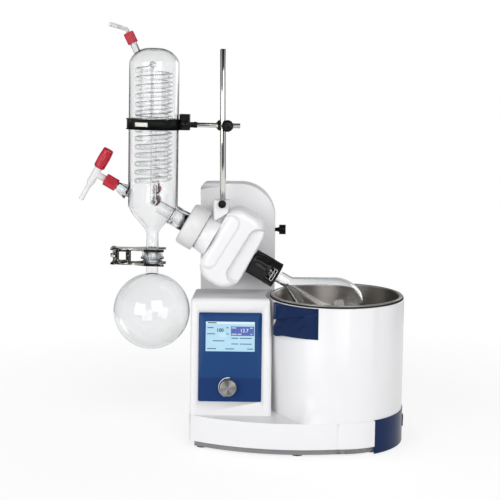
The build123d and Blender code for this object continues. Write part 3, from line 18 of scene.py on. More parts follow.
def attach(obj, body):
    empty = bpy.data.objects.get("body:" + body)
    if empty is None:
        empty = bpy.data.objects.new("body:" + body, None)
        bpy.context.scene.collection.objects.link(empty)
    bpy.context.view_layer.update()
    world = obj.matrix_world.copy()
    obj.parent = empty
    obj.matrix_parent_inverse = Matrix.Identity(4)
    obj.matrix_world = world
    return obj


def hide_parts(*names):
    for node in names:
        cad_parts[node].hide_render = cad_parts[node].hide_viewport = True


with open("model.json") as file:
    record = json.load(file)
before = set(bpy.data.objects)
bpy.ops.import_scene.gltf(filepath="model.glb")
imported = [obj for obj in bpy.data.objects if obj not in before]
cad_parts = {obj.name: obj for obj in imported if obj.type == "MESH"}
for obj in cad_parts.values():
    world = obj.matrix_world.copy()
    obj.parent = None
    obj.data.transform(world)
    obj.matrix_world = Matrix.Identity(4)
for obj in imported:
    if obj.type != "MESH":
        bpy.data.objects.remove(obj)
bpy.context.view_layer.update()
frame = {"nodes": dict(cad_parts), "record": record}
body_of = {n: b for b, names in frame["record"]["behaviour"]["bodies"].items() for n in names}

# %% [markdown]
# ## Camera
# The photograph was taken from the front, a little above the bench and slightly to
# the right, with a long lens. A camera could be fitted by hand in the viewport; here
# its place is worked out from the photograph, so it is a few numbers: how far away
# it stands, how far it looks down and how far it turns.

# %% Camera
camera = bpy.data.objects.new("camera", bpy.data.cameras.new("camera"))
bpy.context.scene.collection.objects.link(camera)
camera.data.lens = 82.8
stands_at, turned, looks_down, rolled = (-0.0178, -2.3546, 0.733), 2.0, 8.14, 0.3
camera.matrix_world = (
    Matrix.Translation(stands_at)
    @ Matrix.Rotation(math.radians(turned), 4, "Z")
    @ Matrix.Rotation(math.radians(90 - looks_down), 4, "X")
    @ Matrix.Rotation(math.radians(rolled), 4, "Z")
)
bpy.context.scene.camera = camera
bpy.context.scene.view_settings.view_transform = "Standard"
# A ray through the flask and the coil crosses many walls, so it may bounce more often.
for limit in ("max_bounces", "transmission_bounces", "transparent_max_bounces"):
    setattr(bpy.context.scene.cycles, limit, 24)
print("camera at", [round(v, 3) for v in camera.location])

# %% [markdown]
# ## Colours and nodes
# Colours are written as the hex numbers one reads off a screen. Blender's shaders
# work with linear light, so one function turns the one into the other. A second
# small function adds any shader node: inputs that are pairs are links from another
# node's output, and all others are plain values.

# %% Colour and node helpers
def colour(code):
    """Linear colour of a hex code: each share c becomes ((c + 0.055) / 1.055) to the 2.4."""
    parts = np.array([int(code[i:i + 2], 16) for i in (0, 2, 4)]) / 255
    linear = np.where(parts > 0.04045, ((parts + 0.055) / 1.055) ** 2.4, parts / 12.92)
    return (*linear.tolist(), 1.0)


def add(tree, kind, inputs=None, **settings):
    """Adds one node of a kind, sets its settings, and fills or links its inputs."""
    node = tree.nodes.new(kind)
    for key, value in settings.items():
        setattr(node, key, value)
    for key, value in (inputs or {}).items():
        if isinstance(value, tuple) and isinstance(value[0], bpy.types.Node):
            tree.links.new(value[0].outputs[value[1]], node.inputs[key])
        else:
            node.inputs[key].default_value = value
    return node


def finish(name):
    """A new, empty material's node tree, with its output and its object coordinates."""
    material = bpy.data.materials.new(name)
    material.use_nodes = True
    tree = material.node_tree
    tree.nodes.clear()
    return material, tree, add(tree, "ShaderNodeOutputMaterial"), add(tree, "ShaderNodeTexCoord")


print("white is", [round(v, 2) for v in colour("f1f1f2")])

# %% [markdown]
# ## Studio
# The object stands on white paper in soft light. A white background could be had
# with strong light, but that would burn out the white housings. So the paper glows
# to rays that look at it and is plain matt paper to those that carry light on, and
# the world is white to the camera alone. Shiny parts mirror a wide dark gap in
# front, a bright wall at each side of it, dark flags behind those and a bright
# backdrop at the back, which gives a round rod its dark core, bright flanks and dark
# edges. Light that glass bends far upwards meets a dark ceiling, and that draws its
# upper outlines.

# %% World
world = bpy.data.worlds.new("studio")
bpy.context.scene.world = world
world.use_nodes = True
tree = world.node_tree
tree.nodes.clear()
# Each Map Range reads a ray's direction: from, to, value before, value after.
ray = add(tree, "ShaderNodeLightPath")
aim = add(tree, "ShaderNodeTexCoord")
axes = add(tree, "ShaderNodeSeparateXYZ", {0: (aim, "Generated")})
offset = add(tree, "ShaderNodeMath", {0: (axes, "X"), 1: 0.05}, operation="SUBTRACT")
distance = add(tree, "ShaderNodeMath", {0: (offset, 0)}, operation="ABSOLUTE")
gap = add(tree, "ShaderNodeMapRange", {0: (distance, 0), 1: 0.45, 2: 0.58, 3: 0.03, 4: 0.80})
behind = add(tree, "ShaderNodeMapRange", {0: (axes, "Y"), 1: -0.10, 2: 0.0})
around = add(tree, "ShaderNodeMix", {0: (behind, 0), 2: (gap, 0), 3: 1.0})
flags = add(tree, "ShaderNodeMapRange", {0: (axes, "Y"), 1: 0.08, 2: 0.22, 3: 0.80, 4: 0.08})
backdrop = add(tree, "ShaderNodeMapRange", {0: (axes, "Y"), 1: 0.78, 2: 0.92, 4: 0.5})
beside = add(tree, "ShaderNodeMath", {0: (flags, 0), 1: (backdrop, 0)}, operation="MAXIMUM")
walls = add(tree, "ShaderNodeMath", {0: (around, 0), 1: (beside, 0)}, operation="MULTIPLY")
above = add(tree, "ShaderNodeMapRange", {0: (axes, "Z"), 1: 0.30, 2: 0.80, 3: 1.0, 4: 0.30})
room = add(tree, "ShaderNodeMath", {0: (walls, 0), 1: (above, 0)}, operation="MULTIPLY")
soft = add(tree, "ShaderNodeMath", {0: (above, 0), 1: 0.66}, operation="MULTIPLY")
mirrored = add(tree, "ShaderNodeMix", {0: (ray, "Is Glossy Ray"), 2: (soft, 0), 3: (room, 0)})
bent = add(tree, "ShaderNodeMapRange", {0: (axes, "Z"), 1: 0.15, 2: 0.40, 3: 1.0, 4: 0.10})
through = add(tree, "ShaderNodeMix", {
    0: (ray, "Is Transmission Ray"), 2: (mirrored, 0), 3: (bent, 0)})
strength = add(tree, "ShaderNodeMix", {0: (ray, "Is Camera Ray"), 2: (through, 0), 3: 1.0})
light = add(tree, "ShaderNodeBackground", {"Color": (1, 1, 1, 1), "Strength": (strength, 0)})
add(tree, "ShaderNodeOutputWorld", {"Surface": (light, 0)})
print("world with", len(tree.nodes), "nodes")

# %% Lamps
# A lamp has its place, the point it is aimed at, its side in metres and its watts.
lamps = {
    "key": ((0.9, -2.6, 1.6), (-0.05, 0, 0.35), 1.9, 33),
    "fill": ((-1.7, -2.4, 1.0), (-0.05, 0, 0.40), 1.7, 25),
    "back": ((1.9, 2.3, 1.2), (0.0, 0, 0.3), 1.3, 11),
}
for name, (place, target, size, power) in lamps.items():
    lamp = bpy.data.lights.new(name, "AREA")
    lamp.size = size
    lamp.energy = power
    holder = bpy.data.objects.new(name, lamp)
    bpy.context.scene.collection.objects.link(holder)
    holder.location = place
    holder.rotation_euler = (Vector(target) - Vector(place)).to_track_quat("-Z", "Y").to_euler()
print(len(lamps), "lamps")

# %% Floor of white paper
# The paper's grain is about 1 mm. Away from the object it fades into the background.
paper, tree, out, here = finish("white_paper")
grain = add(tree, "ShaderNodeTexNoise", {"Vector": (here, "Object"), "Scale": 900.0})
tint = add(tree, "ShaderNodeMix", {0: (grain, 0), 6: colour("f6f6f6"), 7: colour("f9f9f9")},
           data_type="RGBA")
matt = add(tree, "ShaderNodeBsdfDiffuse", {"Color": (tint, 2)})
dim = add(tree, "ShaderNodeBsdfDiffuse", {"Color": colour("a5a5a5")})
glow = add(tree, "ShaderNodeEmission", {"Strength": 0.74})
near = add(tree, "ShaderNodeAddShader", {0: (dim, 0), 1: (glow, 0)})
away = add(tree, "ShaderNodeVectorMath", {0: (here, "Object")}, operation="LENGTH")
fade = add(tree, "ShaderNodeMapRange", {0: (away, "Value"), 1: 0.5, 2: 1.15})
far = add(tree, "ShaderNodeEmission", {"Strength": 1.0})
white = add(tree, "ShaderNodeMixShader", {0: (fade, 0), 1: (near, 0), 2: (far, 0)})
ray = add(tree, "ShaderNodeLightPath")
looked_at = add(tree, "ShaderNodeMath", {0: 1.0, 1: (ray, "Is Diffuse Ray")}, operation="SUBTRACT")
both = add(tree, "ShaderNodeMixShader", {0: (looked_at, 0), 1: (matt, 0), 2: (white, 0)})
tree.links.new(both.outputs[0], out.inputs["Surface"])
floor = bpy.data.objects.new("floor", bpy.data.meshes.new("floor"))
reach = 1.2
corners = [(-reach, -reach, 0), (reach, -reach, 0), (reach, reach, 0), (-reach, reach, 0)]
floor.data.from_pydata(corners, [], [(0, 1, 2, 3)])
floor.data.materials.append(paper)
bpy.context.scene.collection.objects.link(floor)
print("floor", floor.dimensions[0], "m wide")

# %% [markdown]
# ## Moulded plastics
# The housings are injection-moulded ABS: a satin skin with a very fine spark-eroded
# grain, which spreads each highlight a little. The grain could be painted, but a
# bump keeps the colour clean. Real grain is about 0.1 mm and would vanish here, so
# it is drawn at about 0.6 mm.

# %% White and navy ABS
def moulded(name, codes, grain_mm, depth, shader):
    """Plastic with a slow drift between two colours and a fine grain as bump."""
    material, tree, out, here = finish(name)
    drift = add(tree, "ShaderNodeTexNoise", {"Vector": (here, "Object"), "Scale": 9.0, "Detail": 3.0})
    tint = add(tree, "ShaderNodeMix", {0: (drift, 0), 6: colour(codes[0]), 7: colour(codes[1])},
               data_type="RGBA")
    grain = add(tree, "ShaderNodeTexNoise", {
        "Vector": (here, "Object"), "Scale": 1000 / grain_mm, "Detail": 2.0})
    bump = add(tree, "ShaderNodeBump", {"Height": (grain, 0), "Strength": depth, "Distance": 0.0001})
    skin = add(tree, "ShaderNodeBsdfPrincipled", {
        "Base Color": (tint, 2), "Normal": (bump, 0), **shader})
    tree.links.new(skin.outputs[0], out.inputs["Surface"])
    return material


white_abs = moulded("white_moulded_abs", ("ececee", "f1f1f2"), 0.6, 0.12,
                    {"Roughness": 0.30, "IOR": 1.53})
navy_abs = moulded("navy_moulded_abs", ("08204a", "0b254f"), 0.6, 0.15,
                   {"Roughness": 0.26, "IOR": 1.45, "Specular IOR Level": 0.2})
print(white_abs.name, navy_abs.name)

# %% [markdown]
# The clamps, knobs and the flask clip are glass-filled nylon, nearly black and a
# little rougher. The screw caps are red polyester, glossy and slightly see-through
# at thin ribs. Seals are matt fluoropolymer or rubber. The plinth's powder coat has a
# coarser skin than a moulding, and the circuit board a glossy green lacquer.

# %% Nylon, polyester, rubber and seals
black_nylon = moulded("black_filled_nylon", ("0a0a0b", "0f0f10"), 0.4, 0.3,
                      {"Roughness": 0.36, "IOR": 1.5, "Specular IOR Level": 0.2})
clip_nylon = moulded("charcoal_clip_nylon", ("0f0f10", "141415"), 0.4, 0.3,
                     {"Roughness": 0.34, "IOR": 1.5, "Specular IOR Level": 0.3})
red_polyester = moulded("red_polyester", ("b00c26", "c21230"), 0.8, 0.2,
                        {"Roughness": 0.3, "IOR": 1.57, "Subsurface Weight": 0.05,
                         "Subsurface Scale": 0.002})
rubber = moulded("black_nitrile_rubber", ("19191a", "212122"), 0.5, 0.5,
                 {"Roughness": 0.7, "IOR": 1.52})
pale_seal = moulded("pale_fluoropolymer", ("e3e1dc", "ebe9e4"), 0.5, 0.2,
                    {"Roughness": 0.5, "IOR": 1.38})
plinth_paint = moulded("grey_powder_coat", ("7e7f81", "88898b"), 0.9, 0.5,
                       {"Roughness": 0.5, "IOR": 1.5})
green_board = moulded("green_circuit_board", ("1d5a37", "26693f"), 1.2, 0.4,
                      {"Roughness": 0.35, "IOR": 1.55})
print("seven plastics and paints")

# %% [markdown]
# The union nut and the hose tails are natural polypropylene: milky, so light enters
# and scatters a few millimetres deep. Subsurface scattering gives that soft look at
# the edges, and a little transmission lets the neck behind show.

# %% Milky polypropylene
milky = moulded("milky_polypropylene", ("e9e9ea", "efefef"), 0.7, 0.1,
                {"Roughness": 0.30, "IOR": 1.49, "Transmission Weight": 0.06,
                 "Subsurface Weight": 0.12, "Subsurface Scale": 0.003})
tail_milky = moulded("thin_clear_polypropylene", ("f0f1f2", "f6f7f8"), 0.7, 0.1,
                     {"Roughness": 0.28, "IOR": 1.49, "Transmission Weight": 0.45})
print(milky.name, tail_milky.name)

# %% [markdown]
# ## Panel film
# The front panel is a printed polyester film: dark blue, a touch darker over its
# lower third, with a satin lacquer. A sharp step in the colour at one height makes
# the two printed fields.

# %% Blue film
panel_film, tree, out, here = finish("printed_polyester_film")
height = add(tree, "ShaderNodeSeparateXYZ", {0: (here, "Object")})
field = add(tree, "ShaderNodeMapRange", {0: (height, "Z"), 1: 0.1445, 2: 0.1455, 3: 0.0, 4: 1.0})
tint = add(tree, "ShaderNodeMix", {0: (field, 0), 6: colour("0a346c"), 7: colour("134178")},
           data_type="RGBA")
grain = add(tree, "ShaderNodeTexNoise", {"Vector": (here, "Object"), "Scale": 1600.0})
bump = add(tree, "ShaderNodeBump", {"Height": (grain, 0), "Strength": 0.1, "Distance": 0.0001})
skin = add(tree, "ShaderNodeBsdfPrincipled", {
    "Base Color": (tint, 2), "Normal": (bump, 0), "Roughness": 0.36, "IOR": 1.45,
    "Specular IOR Level": 0.3})
tree.links.new(skin.outputs[0], out.inputs["Surface"])
print(panel_film.name)

# %% [markdown]
# ## Metals
# The bath is brushed stainless steel: its lines run round the wall and in circles
# on the floor. A picture could be wrapped round it, but a noise that is stretched
# along the turn does the same at any size: it is read by radius and height only,
# with lines about 0.8 mm apart.

# %% Brushed bath steel
BATH_X = 80.0
bath_steel, tree, out, here = finish("brushed_stainless_steel")
centred = add(tree, "ShaderNodeMapping", {
    "Vector": (here, "Object"), "Location": (-BATH_X / 1000, 0, 0)})
axes = add(tree, "ShaderNodeSeparateXYZ", {0: (centred, 0)})
flat = add(tree, "ShaderNodeCombineXYZ", {0: (axes, "X"), 1: (axes, "Y")})
radius = add(tree, "ShaderNodeVectorMath", {0: (flat, 0)}, operation="LENGTH")
lines = add(tree, "ShaderNodeCombineXYZ", {0: (radius, "Value"), 2: (axes, "Z")})
brushed = add(tree, "ShaderNodeTexNoise", {"Vector": (lines, 0), "Scale": 1250.0, "Detail": 2.0})
cloud = add(tree, "ShaderNodeTexNoise", {"Vector": (here, "Object"), "Scale": 14.0})
# Painted shade: the wall's steel is darker than steel itself, for the shade inside the bath.
wall = add(tree, "ShaderNodeMix", {0: (cloud, 0), 6: colour("7b7670"), 7: colour("8b8680")},
           data_type="RGBA")
# Painted highlight: above the rim's height the steel's colour turns lighter.
rim_highlight = add(tree, "ShaderNodeMapRange", {0: (axes, "Z"), 1: 0.3030, 2: 0.3045})
tint = add(tree, "ShaderNodeMix", {0: (rim_highlight, 0), 6: (wall, 2), 7: colour("c4c1bd")}, data_type="RGBA")
rough = add(tree, "ShaderNodeMapRange", {0: (brushed, 0), 1: 0.3, 2: 0.7, 3: 0.26, 4: 0.42})
bump = add(tree, "ShaderNodeBump", {"Height": (brushed, 0), "Strength": 0.12, "Distance": 0.0001})
skin = add(tree, "ShaderNodeBsdfPrincipled", {
    "Base Color": (tint, 2), "Metallic": 1.0, "Roughness": (rough, 0), "Normal": (bump, 0)})
tree.links.new(skin.outputs[0], out.inputs["Surface"])
print(bath_steel.name)

# %% [markdown]
# The rods are ground stainless steel, the fork clamp and the springs are plated and
# polished, and the hidden frames are cast aluminium. They differ mostly in how
# rough they are, and in the size of what the tool or the mould left behind.

# %% Ground, plated and cast metal
def metal(name, code, grain_mm, roughness, depth, distance=0.0001):
    """Metal of one colour whose roughness and bump follow a noise of a given grain."""
    material, tree, out, here = finish(name)
    grain = add(tree, "ShaderNodeTexNoise", {"Vector": (here, "Object"), "Scale": 1000 / grain_mm})
    rough = add(tree, "ShaderNodeMapRange", {
        0: (grain, 0), 1: 0.3, 2: 0.7, 3: roughness[0], 4: roughness[1]})
    bump = add(tree, "ShaderNodeBump", {"Height": (grain, 0), "Strength": depth, "Distance": distance})
    skin = add(tree, "ShaderNodeBsdfPrincipled", {
        "Base Color": colour(code), "Metallic": 1.0, "Roughness": (rough, 0), "Normal": (bump, 0)})
    tree.links.new(skin.outputs[0], out.inputs["Surface"])
    return material


ground_steel = metal("ground_stainless_steel", "d6d4d0", 1.5, (0.06, 0.11), 0.04)
bright_plate = metal("polished_nickel_plate", "d3d1cd", 3.0, (0.06, 0.13), 0.1)
bent_plate = metal("bent_and_plated_sheet", "b3b0ab", 7.0, (0.05, 0.10), 1.0, 0.0008)
cast_aluminium = metal("cast_aluminium", "9fa1a4", 1.0, (0.45, 0.6), 0.6)
print("four metals")

# %% [markdown]
# ## Glass
# Laboratory glass is borosilicate, index 1.47 and almost without colour. Its walls
# are only seen where one looks along them, at the outline, where much more glass is
# in the way. A faint grey absorption inside the wall darkens those edges and keeps
# the middle clear, and a painted grey shade where the surface is seen nearly edge
# on stands for the dark surroundings that real glass bends into its outline. The
# walls have a real thickness, so the shader can bend light twice, as it should.

# %% Borosilicate glass
def glassy(name, density, edge):
    """Clear glass with grey absorption per metre of wall and a painted grey shade at its edges."""
    material, tree, out, here = finish(name)
    # Blown glass is wavy over about 22 mm.
    ripple = add(tree, "ShaderNodeTexNoise", {"Vector": (here, "Object"), "Scale": 45.0, "Detail": 1.0})
    bump = add(tree, "ShaderNodeBump", {"Height": (ripple, 0), "Strength": 0.012, "Distance": 0.001})
    # Painted shade: the base colour turns grey where the surface is seen edge on.
    turned = add(tree, "ShaderNodeLayerWeight", {"Blend": 0.5})
    painted_edge_shade = add(tree, "ShaderNodeMapRange", {0: (turned, "Facing"), 1: 0.82, 2: 0.98})
    tint = add(tree, "ShaderNodeMix", {0: (painted_edge_shade, 0), 6: (1, 1, 1, 1), 7: colour(edge)},
               data_type="RGBA")
    skin = add(tree, "ShaderNodeBsdfPrincipled", {
        "Base Color": (tint, 2), "Normal": (bump, 0), "Roughness": 0.0, "IOR": 1.47,
        "Transmission Weight": 1.0})
    depth = add(tree, "ShaderNodeVolumeAbsorption", {"Color": colour("a4aeb4"), "Density": density})
    tree.links.new(skin.outputs[0], out.inputs["Surface"])
    tree.links.new(depth.outputs[0], out.inputs["Volume"])
    return material


# The last colour is the painted shade at each glass's outline.
clear_glass = glassy("borosilicate_glass", 44.0, "454b51")
coil_glass = glassy("borosilicate_coil_glass", 30.0, "8f969c")
print(clear_glass.name, coil_glass.name)

# %% [markdown]
# ## Surfaces from numbers
# Most new pieces here are turned on a lathe or drawn out along a line, so each is a
# grid of points: rows along a profile or a path, columns round it. The functions
# below work on whole arrays at once. `surface` turns a grid into a mesh, merges the
# points of a pole into one, and makes all faces point outwards.

# %% Frames and profiles
def frame_at(x, z, angle):
    """Origin and axes (rows x, y, z) of a line in the y = 0 plane, at an angle above +X."""
    c, s = math.cos(math.radians(angle)), math.sin(math.radians(angle))
    return np.array([x, 0, z]), np.array([[s, 0, -c], [0, 1, 0], [c, 0, s]])


def placed(points, place):
    """Points in a frame's own axes, carried to the model's frame: origin + points times axes."""
    return place[0] + np.asarray(points, float) @ place[1]


def rounded(corners, reach, steps=6):
    """A line through corners, each inner one a parabola that starts and ends a reach away.

    Its points are (1 - t) squared a + 2 t (1 - t) corner + t squared b, for t from 0 to 1.
    """
    p = np.asarray(corners, float)
    back, on = p[:-2] - p[1:-1], p[2:] - p[1:-1]
    back_length, on_length = np.linalg.norm(back, axis=1), np.linalg.norm(on, axis=1)
    a = p[1:-1] + back * (np.minimum(reach, back_length * 0.45) / back_length)[:, None]
    b = p[1:-1] + on * (np.minimum(reach, on_length * 0.45) / on_length)[:, None]
    t = np.linspace(0, 1, steps)[None, :, None]
    curves = (1 - t) ** 2 * a[:, None] + 2 * t * (1 - t) * p[1:-1, None] + t ** 2 * b[:, None]
    return np.vstack([p[:1], curves.reshape(-1, p.shape[1]), p[-1:]])


def arc(centre, radius, start, end, steps):
    """Points on a circle in (r, z), between two angles above the r axis."""
    a = np.radians(np.linspace(start, end, steps))
    return np.stack([radius * np.cos(a), centre + radius * np.sin(a)], axis=1)


def lathe(profile, place, steps):
    """Grid of a profile of (radius, height) turned about a frame's z axis."""
    profile = np.asarray(profile, float)
    a = np.linspace(0, 2 * np.pi, steps, endpoint=False)
    ring = np.stack([np.cos(a), np.sin(a), np.zeros(steps)], axis=1)
    grid = profile[:, 0, None, None] * ring + profile[:, 1, None, None] * np.array([0, 0, 1.0])
    return placed(grid, place)


print("corner count", len(rounded([(0, 0), (1, 0), (1, 1)], 0.2)))

# %% Grid to mesh
def merged(mesh, reach=2e-7, turn_out=True):
    """Merges a mesh's points that lie within a reach, and turns its faces outwards if asked."""
    shape = bmesh.new()
    shape.from_mesh(mesh)
    bmesh.ops.remove_doubles(shape, verts=shape.verts, dist=reach)
    if turn_out:
        bmesh.ops.recalc_face_normals(shape, faces=shape.faces)
    shape.to_mesh(mesh)
    shape.free()
    return mesh


def grid_mesh(name, grids, loop_rows=True):
    """One mesh from grids (rows, columns, 3) in mm; the last row may join the first one."""
    points, faces, start = [], [], 0
    for grid in grids:
        rows, columns = grid.shape[:2]
        r, c = np.meshgrid(np.arange(rows if loop_rows else rows - 1), np.arange(columns), indexing="ij")
        up, on = (r + 1) % rows, (c + 1) % columns
        quads = np.stack([r * columns + c, r * columns + on, up * columns + on, up * columns + c], -1)
        points.append(grid.reshape(-1, 3) / 1000)
        faces.append(quads.reshape(-1, 4) + start)
        start += rows * columns
    mesh = bpy.data.meshes.new(name)
    mesh.from_pydata(np.vstack(points).tolist(), [], np.vstack(faces).tolist())
    return merged(mesh)


def finished(name, mesh, body, material, stands_for=(), sharp=35):
    """An object of a mesh, smooth up to an angle, with its material and the body it rides on."""
    mesh.name = name
    mesh.shade_smooth()
    mesh.set_sharp_from_angle(angle=math.radians(sharp))
    mesh.materials.clear()
    mesh.materials.append(material)
    piece = bpy.data.objects.new(name, mesh)
    bpy.context.scene.collection.objects.link(piece)
    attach(piece, body)
    if stands_for:
        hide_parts(*stands_for)
    print(name, len(mesh.polygons), "faces")


def surface(name, grids, body, material, stands_for=(), loop_rows=True, sharp=35):
    """A finished object straight from grids."""
    finished(name, grid_mesh(name, grids, loop_rows), body, material, stands_for, sharp)


def box_mesh(name, corners):
    """Mesh of boxes, given as rows of eight corners in mm, in the order of a grid in x, y and z."""
    sides = np.array([(0, 1, 3, 2), (4, 6, 7, 5), (0, 4, 5, 1),
                      (2, 3, 7, 6), (0, 2, 6, 4), (1, 5, 7, 3)])
    faces = np.vstack([sides + 8 * i for i in range(len(corners))])
    mesh = bpy.data.meshes.new(name)
    mesh.from_pydata((np.vstack(corners) / 1000).tolist(), [], faces.tolist())
    return merged(mesh)


# The rotor's axis starts at the tilt shaft and falls by 30 degrees to the right. The
# condenser's starts where the two axes cross, and leans by 1 degree.
spin = frame_at(-130.0, 393.0, -30.0)
upright = frame_at(-301.0, 491.727, 89.0)

# %% [markdown]
# ## Round glass
# The receiving flask is blown glass with a ball of 79.6 mm radius; the evaporating
# flask is a pear: a cone that runs into a ball. Both are closed walls: the profile
# goes down the outside, round the rim, and back up the inside.

# %% Evaporating flask
WALL, NECK_R = 2.3, 13.0
PEAR_R, PEAR_AT, CONE = 66.0, 238.0, 30


def pear_line(inset):
    """Cone and ball of the pear in (r, u): the cone meets the ball where both slope alike."""
    ball, neck, slope = PEAR_R - inset, NECK_R - inset, math.radians(CONE)
    meet = (ball * math.cos(slope), PEAR_AT - ball * math.sin(slope))
    return np.vstack([[(neck, meet[1] - (meet[0] - neck) / math.tan(slope))],
                      arc(PEAR_AT, ball, -CONE, 90, 48)])


outside = rounded([(14.7, 66), (19, 66), (19, 70), (17, 72.5), (17, 96), (NECK_R, 104),
                   *pear_line(0)[:2]], 3)
inside = rounded([*pear_line(WALL)[1::-1], (NECK_R - WALL, 104), (13.1, 99), (14.7, 66)], 3)
wall = np.vstack([inside[-1:], outside[1:-1], pear_line(0)[1:], pear_line(WALL)[:0:-1],
                  inside[1:-1]])
surface("evaporating_flask_glass", [lathe(wall, spin, 128)], "rotor", clear_glass,
        ["evaporating_flask"], sharp=50)

# %% Vapour duct
duct = rounded([(11, -184), (13, -184), (13, 61), (14.6, 64), (14.6, 66), (13, 98), (11, 98),
                (11, -184)], 0.6, 3)
surface("vapour_duct_glass", [lathe(duct[:-1], spin, 64)], "rotor", clear_glass,
        ["vapour_duct"], sharp=50)

# %% Receiving flask
BALL_R, BALL_AT = 79.6, -226.3
throat = math.degrees(math.acos(NECK_R / BALL_R))
inner_throat = math.degrees(math.acos((NECK_R - WALL) / (BALL_R - WALL)))
outside = rounded([(9, -97.5), (13.2, -99.4), (17.2, -108), (17.4, -113), (15.8, -118.4), (19, -118.2),
                   (22, -120.5), (14, -127.4), (NECK_R, -131), (NECK_R, -140)], 1.5)
ball = arc(BALL_AT, BALL_R, throat, -90, 64)
cavity = arc(BALL_AT, BALL_R - WALL, -90, inner_throat, 64)
bore = rounded([(NECK_R - WALL, -140), (NECK_R - WALL, -126), (9, -122), (9, -97.5)], 2)
wall = np.vstack([outside, ball, cavity, bore[:-1]])
surface("receiving_flask_glass", [lathe(wall, upright, 128)], "head", clear_glass,
        ["receiving_flask"], sharp=50)

# %% [markdown]
# ## Condenser coil
# Water runs up a glass tube wound in 13 and a half turns and back down the middle.
# A screw modifier could wind it, but as a tube carried along a path its two runs to
# the water necks are part of the same piece. The path's corners are rounded by
# averaging each point with its neighbours.

# %% Coil
def tube_grid(path, outer, inner, columns):
    """Tube wall round a path: rows go out along the outside and back along the inside.

    A ring is path + r (side cos a + over sin a). Side is the path's direction crossed with
    one slanting line, so no ring twists, and over is square to both.
    """
    run = np.gradient(path, axis=0)
    run /= np.linalg.norm(run, axis=1)[:, None]
    side = np.cross(run, np.array([0.31, 0.17, 0.93]))
    side /= np.linalg.norm(side, axis=1)[:, None]
    over = np.cross(run, side)
    a = np.linspace(0, 2 * np.pi, columns, endpoint=False)
    ring = side[:, None] * np.cos(a)[None, :, None] + over[:, None] * np.sin(a)[None, :, None]
    out, back = path[:, None] + outer * ring, path[:, None] + inner * ring
    return np.vstack([out, back[::-1]])


def straight(a, b, step=2.5):
    """Evenly spaced points from a up to, but not including, b."""
    a, b = np.array(a, float), np.array(b, float)
    count = max(2, int(np.linalg.norm(b - a) / step))
    return a + (b - a) * np.linspace(0, 1, count, endpoint=False)[:, None]


COIL_R, COIL_START, PITCH, TURNS = 35.3, 41.3, 17.2, 13.5
PORT_AT, PORT_OUT, SPREAD = 23.0, 58, 3
turns = np.linspace(0, TURNS, 540)
wind = np.radians(90 + 360 * turns)
helix = np.stack([COIL_R * np.cos(wind), COIL_R * np.sin(wind), COIL_START + PITCH * turns], axis=1)
top = helix[-1] + [0, 0, 9]
path = np.vstack([
    straight((0, PORT_OUT, PORT_AT), (0, COIL_R, PORT_AT)),
    straight((0, COIL_R, PORT_AT), helix[0]), helix,
    straight(helix[-1] + [0, 0, 1], top), straight(top, (0, 0, top[2])),
    straight((0, 0, top[2]), (0, 0, 0)), straight((0, 0, 0), (0, PORT_OUT, 0)),
    [[0, PORT_OUT, 0]],
])
near = 2 * SPREAD + 1
ends = np.pad(path, ((SPREAD, SPREAD), (0, 0)), mode="edge")
soft = np.apply_along_axis(np.convolve, 0, ends, np.ones(near) / near, "valid")
surface("condenser_coil_tube", [placed(tube_grid(soft, 5.9, 4.7, 16), upright)], "head", coil_glass,
        ["condenser_coil"], sharp=60)

# %% [markdown]
# ## Head cover
# The front of the drive head is one soft moulding: a tall block with four unequal
# corners, and two long hollows with a band left between them. Subdivision modelling
# would do, but the rounds are easier to control as numbers. Rings of the outline run
# up the side, over the edge and in to the middle, and the height of each point comes
# from how far it lies inside each hollow.

# %% Outline and hollows
HEAD_DEPTH, HEAD_EDGE = 45.0, 16.0
head_middle = np.array([-9.0, 4.5])


def block_outline(corners, radii, count):
    """Polygon with an arc in each corner, as points evenly spaced by length, and their normals."""
    corners = np.asarray(corners, float)
    line = []
    for i, radius in enumerate(radii):
        back = corners[i - 1] - corners[i]
        on = corners[(i + 1) % len(corners)] - corners[i]
        back, on = back / np.linalg.norm(back), on / np.linalg.norm(on)
        half = math.acos(float(back @ on)) / 2
        bisector = (back + on) / np.linalg.norm(back + on)
        centre = corners[i] + bisector * radius / math.sin(half)
        first = corners[i] + back * radius / math.tan(half) - centre
        sweep = np.linspace(0, 1, 40)[:, None] * (math.pi - 2 * half)
        turn = math.copysign(1, back[0] * on[1] - back[1] * on[0])
        across = turn * np.array([first[1], -first[0]])
        line.append(centre + first * np.cos(sweep) + across * np.sin(sweep))
    line = np.vstack(line)
    line = np.vstack([line, line[:1]])
    length = np.concatenate([[0], np.cumsum(np.linalg.norm(np.diff(line, axis=0), axis=1))])
    at = np.linspace(0, length[-1], count, endpoint=False)
    even = np.stack([np.interp(at, length, line[:, k]) for k in (0, 1)], axis=1)
    run = np.roll(even, -1, axis=0) - np.roll(even, 1, axis=0)
    normal = np.stack([run[:, 1], -run[:, 0]], axis=1) / np.linalg.norm(run, axis=1)[:, None]
    outwards = np.sign(np.sum(normal * (even - even.mean(axis=0)), axis=1))[:, None]
    return even, normal * outwards


def step_up(value, low, high):
    """Smooth step: 0 below low, 1 above high, and 3t squared minus 2t cubed between."""
    t = np.clip((value - low) / (high - low), 0, 1)
    return t * t * (3 - 2 * t)


def hollow(points, start, end, half_width, soft, depth):
    """Depth of a long hollow: full inside, none outside, smooth over a soft edge."""
    start, end = np.array(start, float), np.array(end, float)
    run = end - start
    share = np.clip((points - start) @ run / (run @ run), 0, 1)
    away = np.linalg.norm(points - start - share[..., None] * run, axis=-1)
    return depth * (1 - step_up(away, half_width - soft, half_width + soft))


print("a hollow's middle is", hollow(np.zeros((1, 2)), (0, -1), (0, 1), 5, 1, 13)[0], "mm deep")

# %% Head cover
def head_height(points):
    """Height of the front: a low crown less the two hollows."""
    crown = 2.5 * np.sum(((points - head_middle) / (60, 95)) ** 2, axis=-1)
    left = hollow(points, (-40, -38), (-37, 50), 16.5, 3.0, 11.0)
    return HEAD_DEPTH - crown - left - pocket(points)


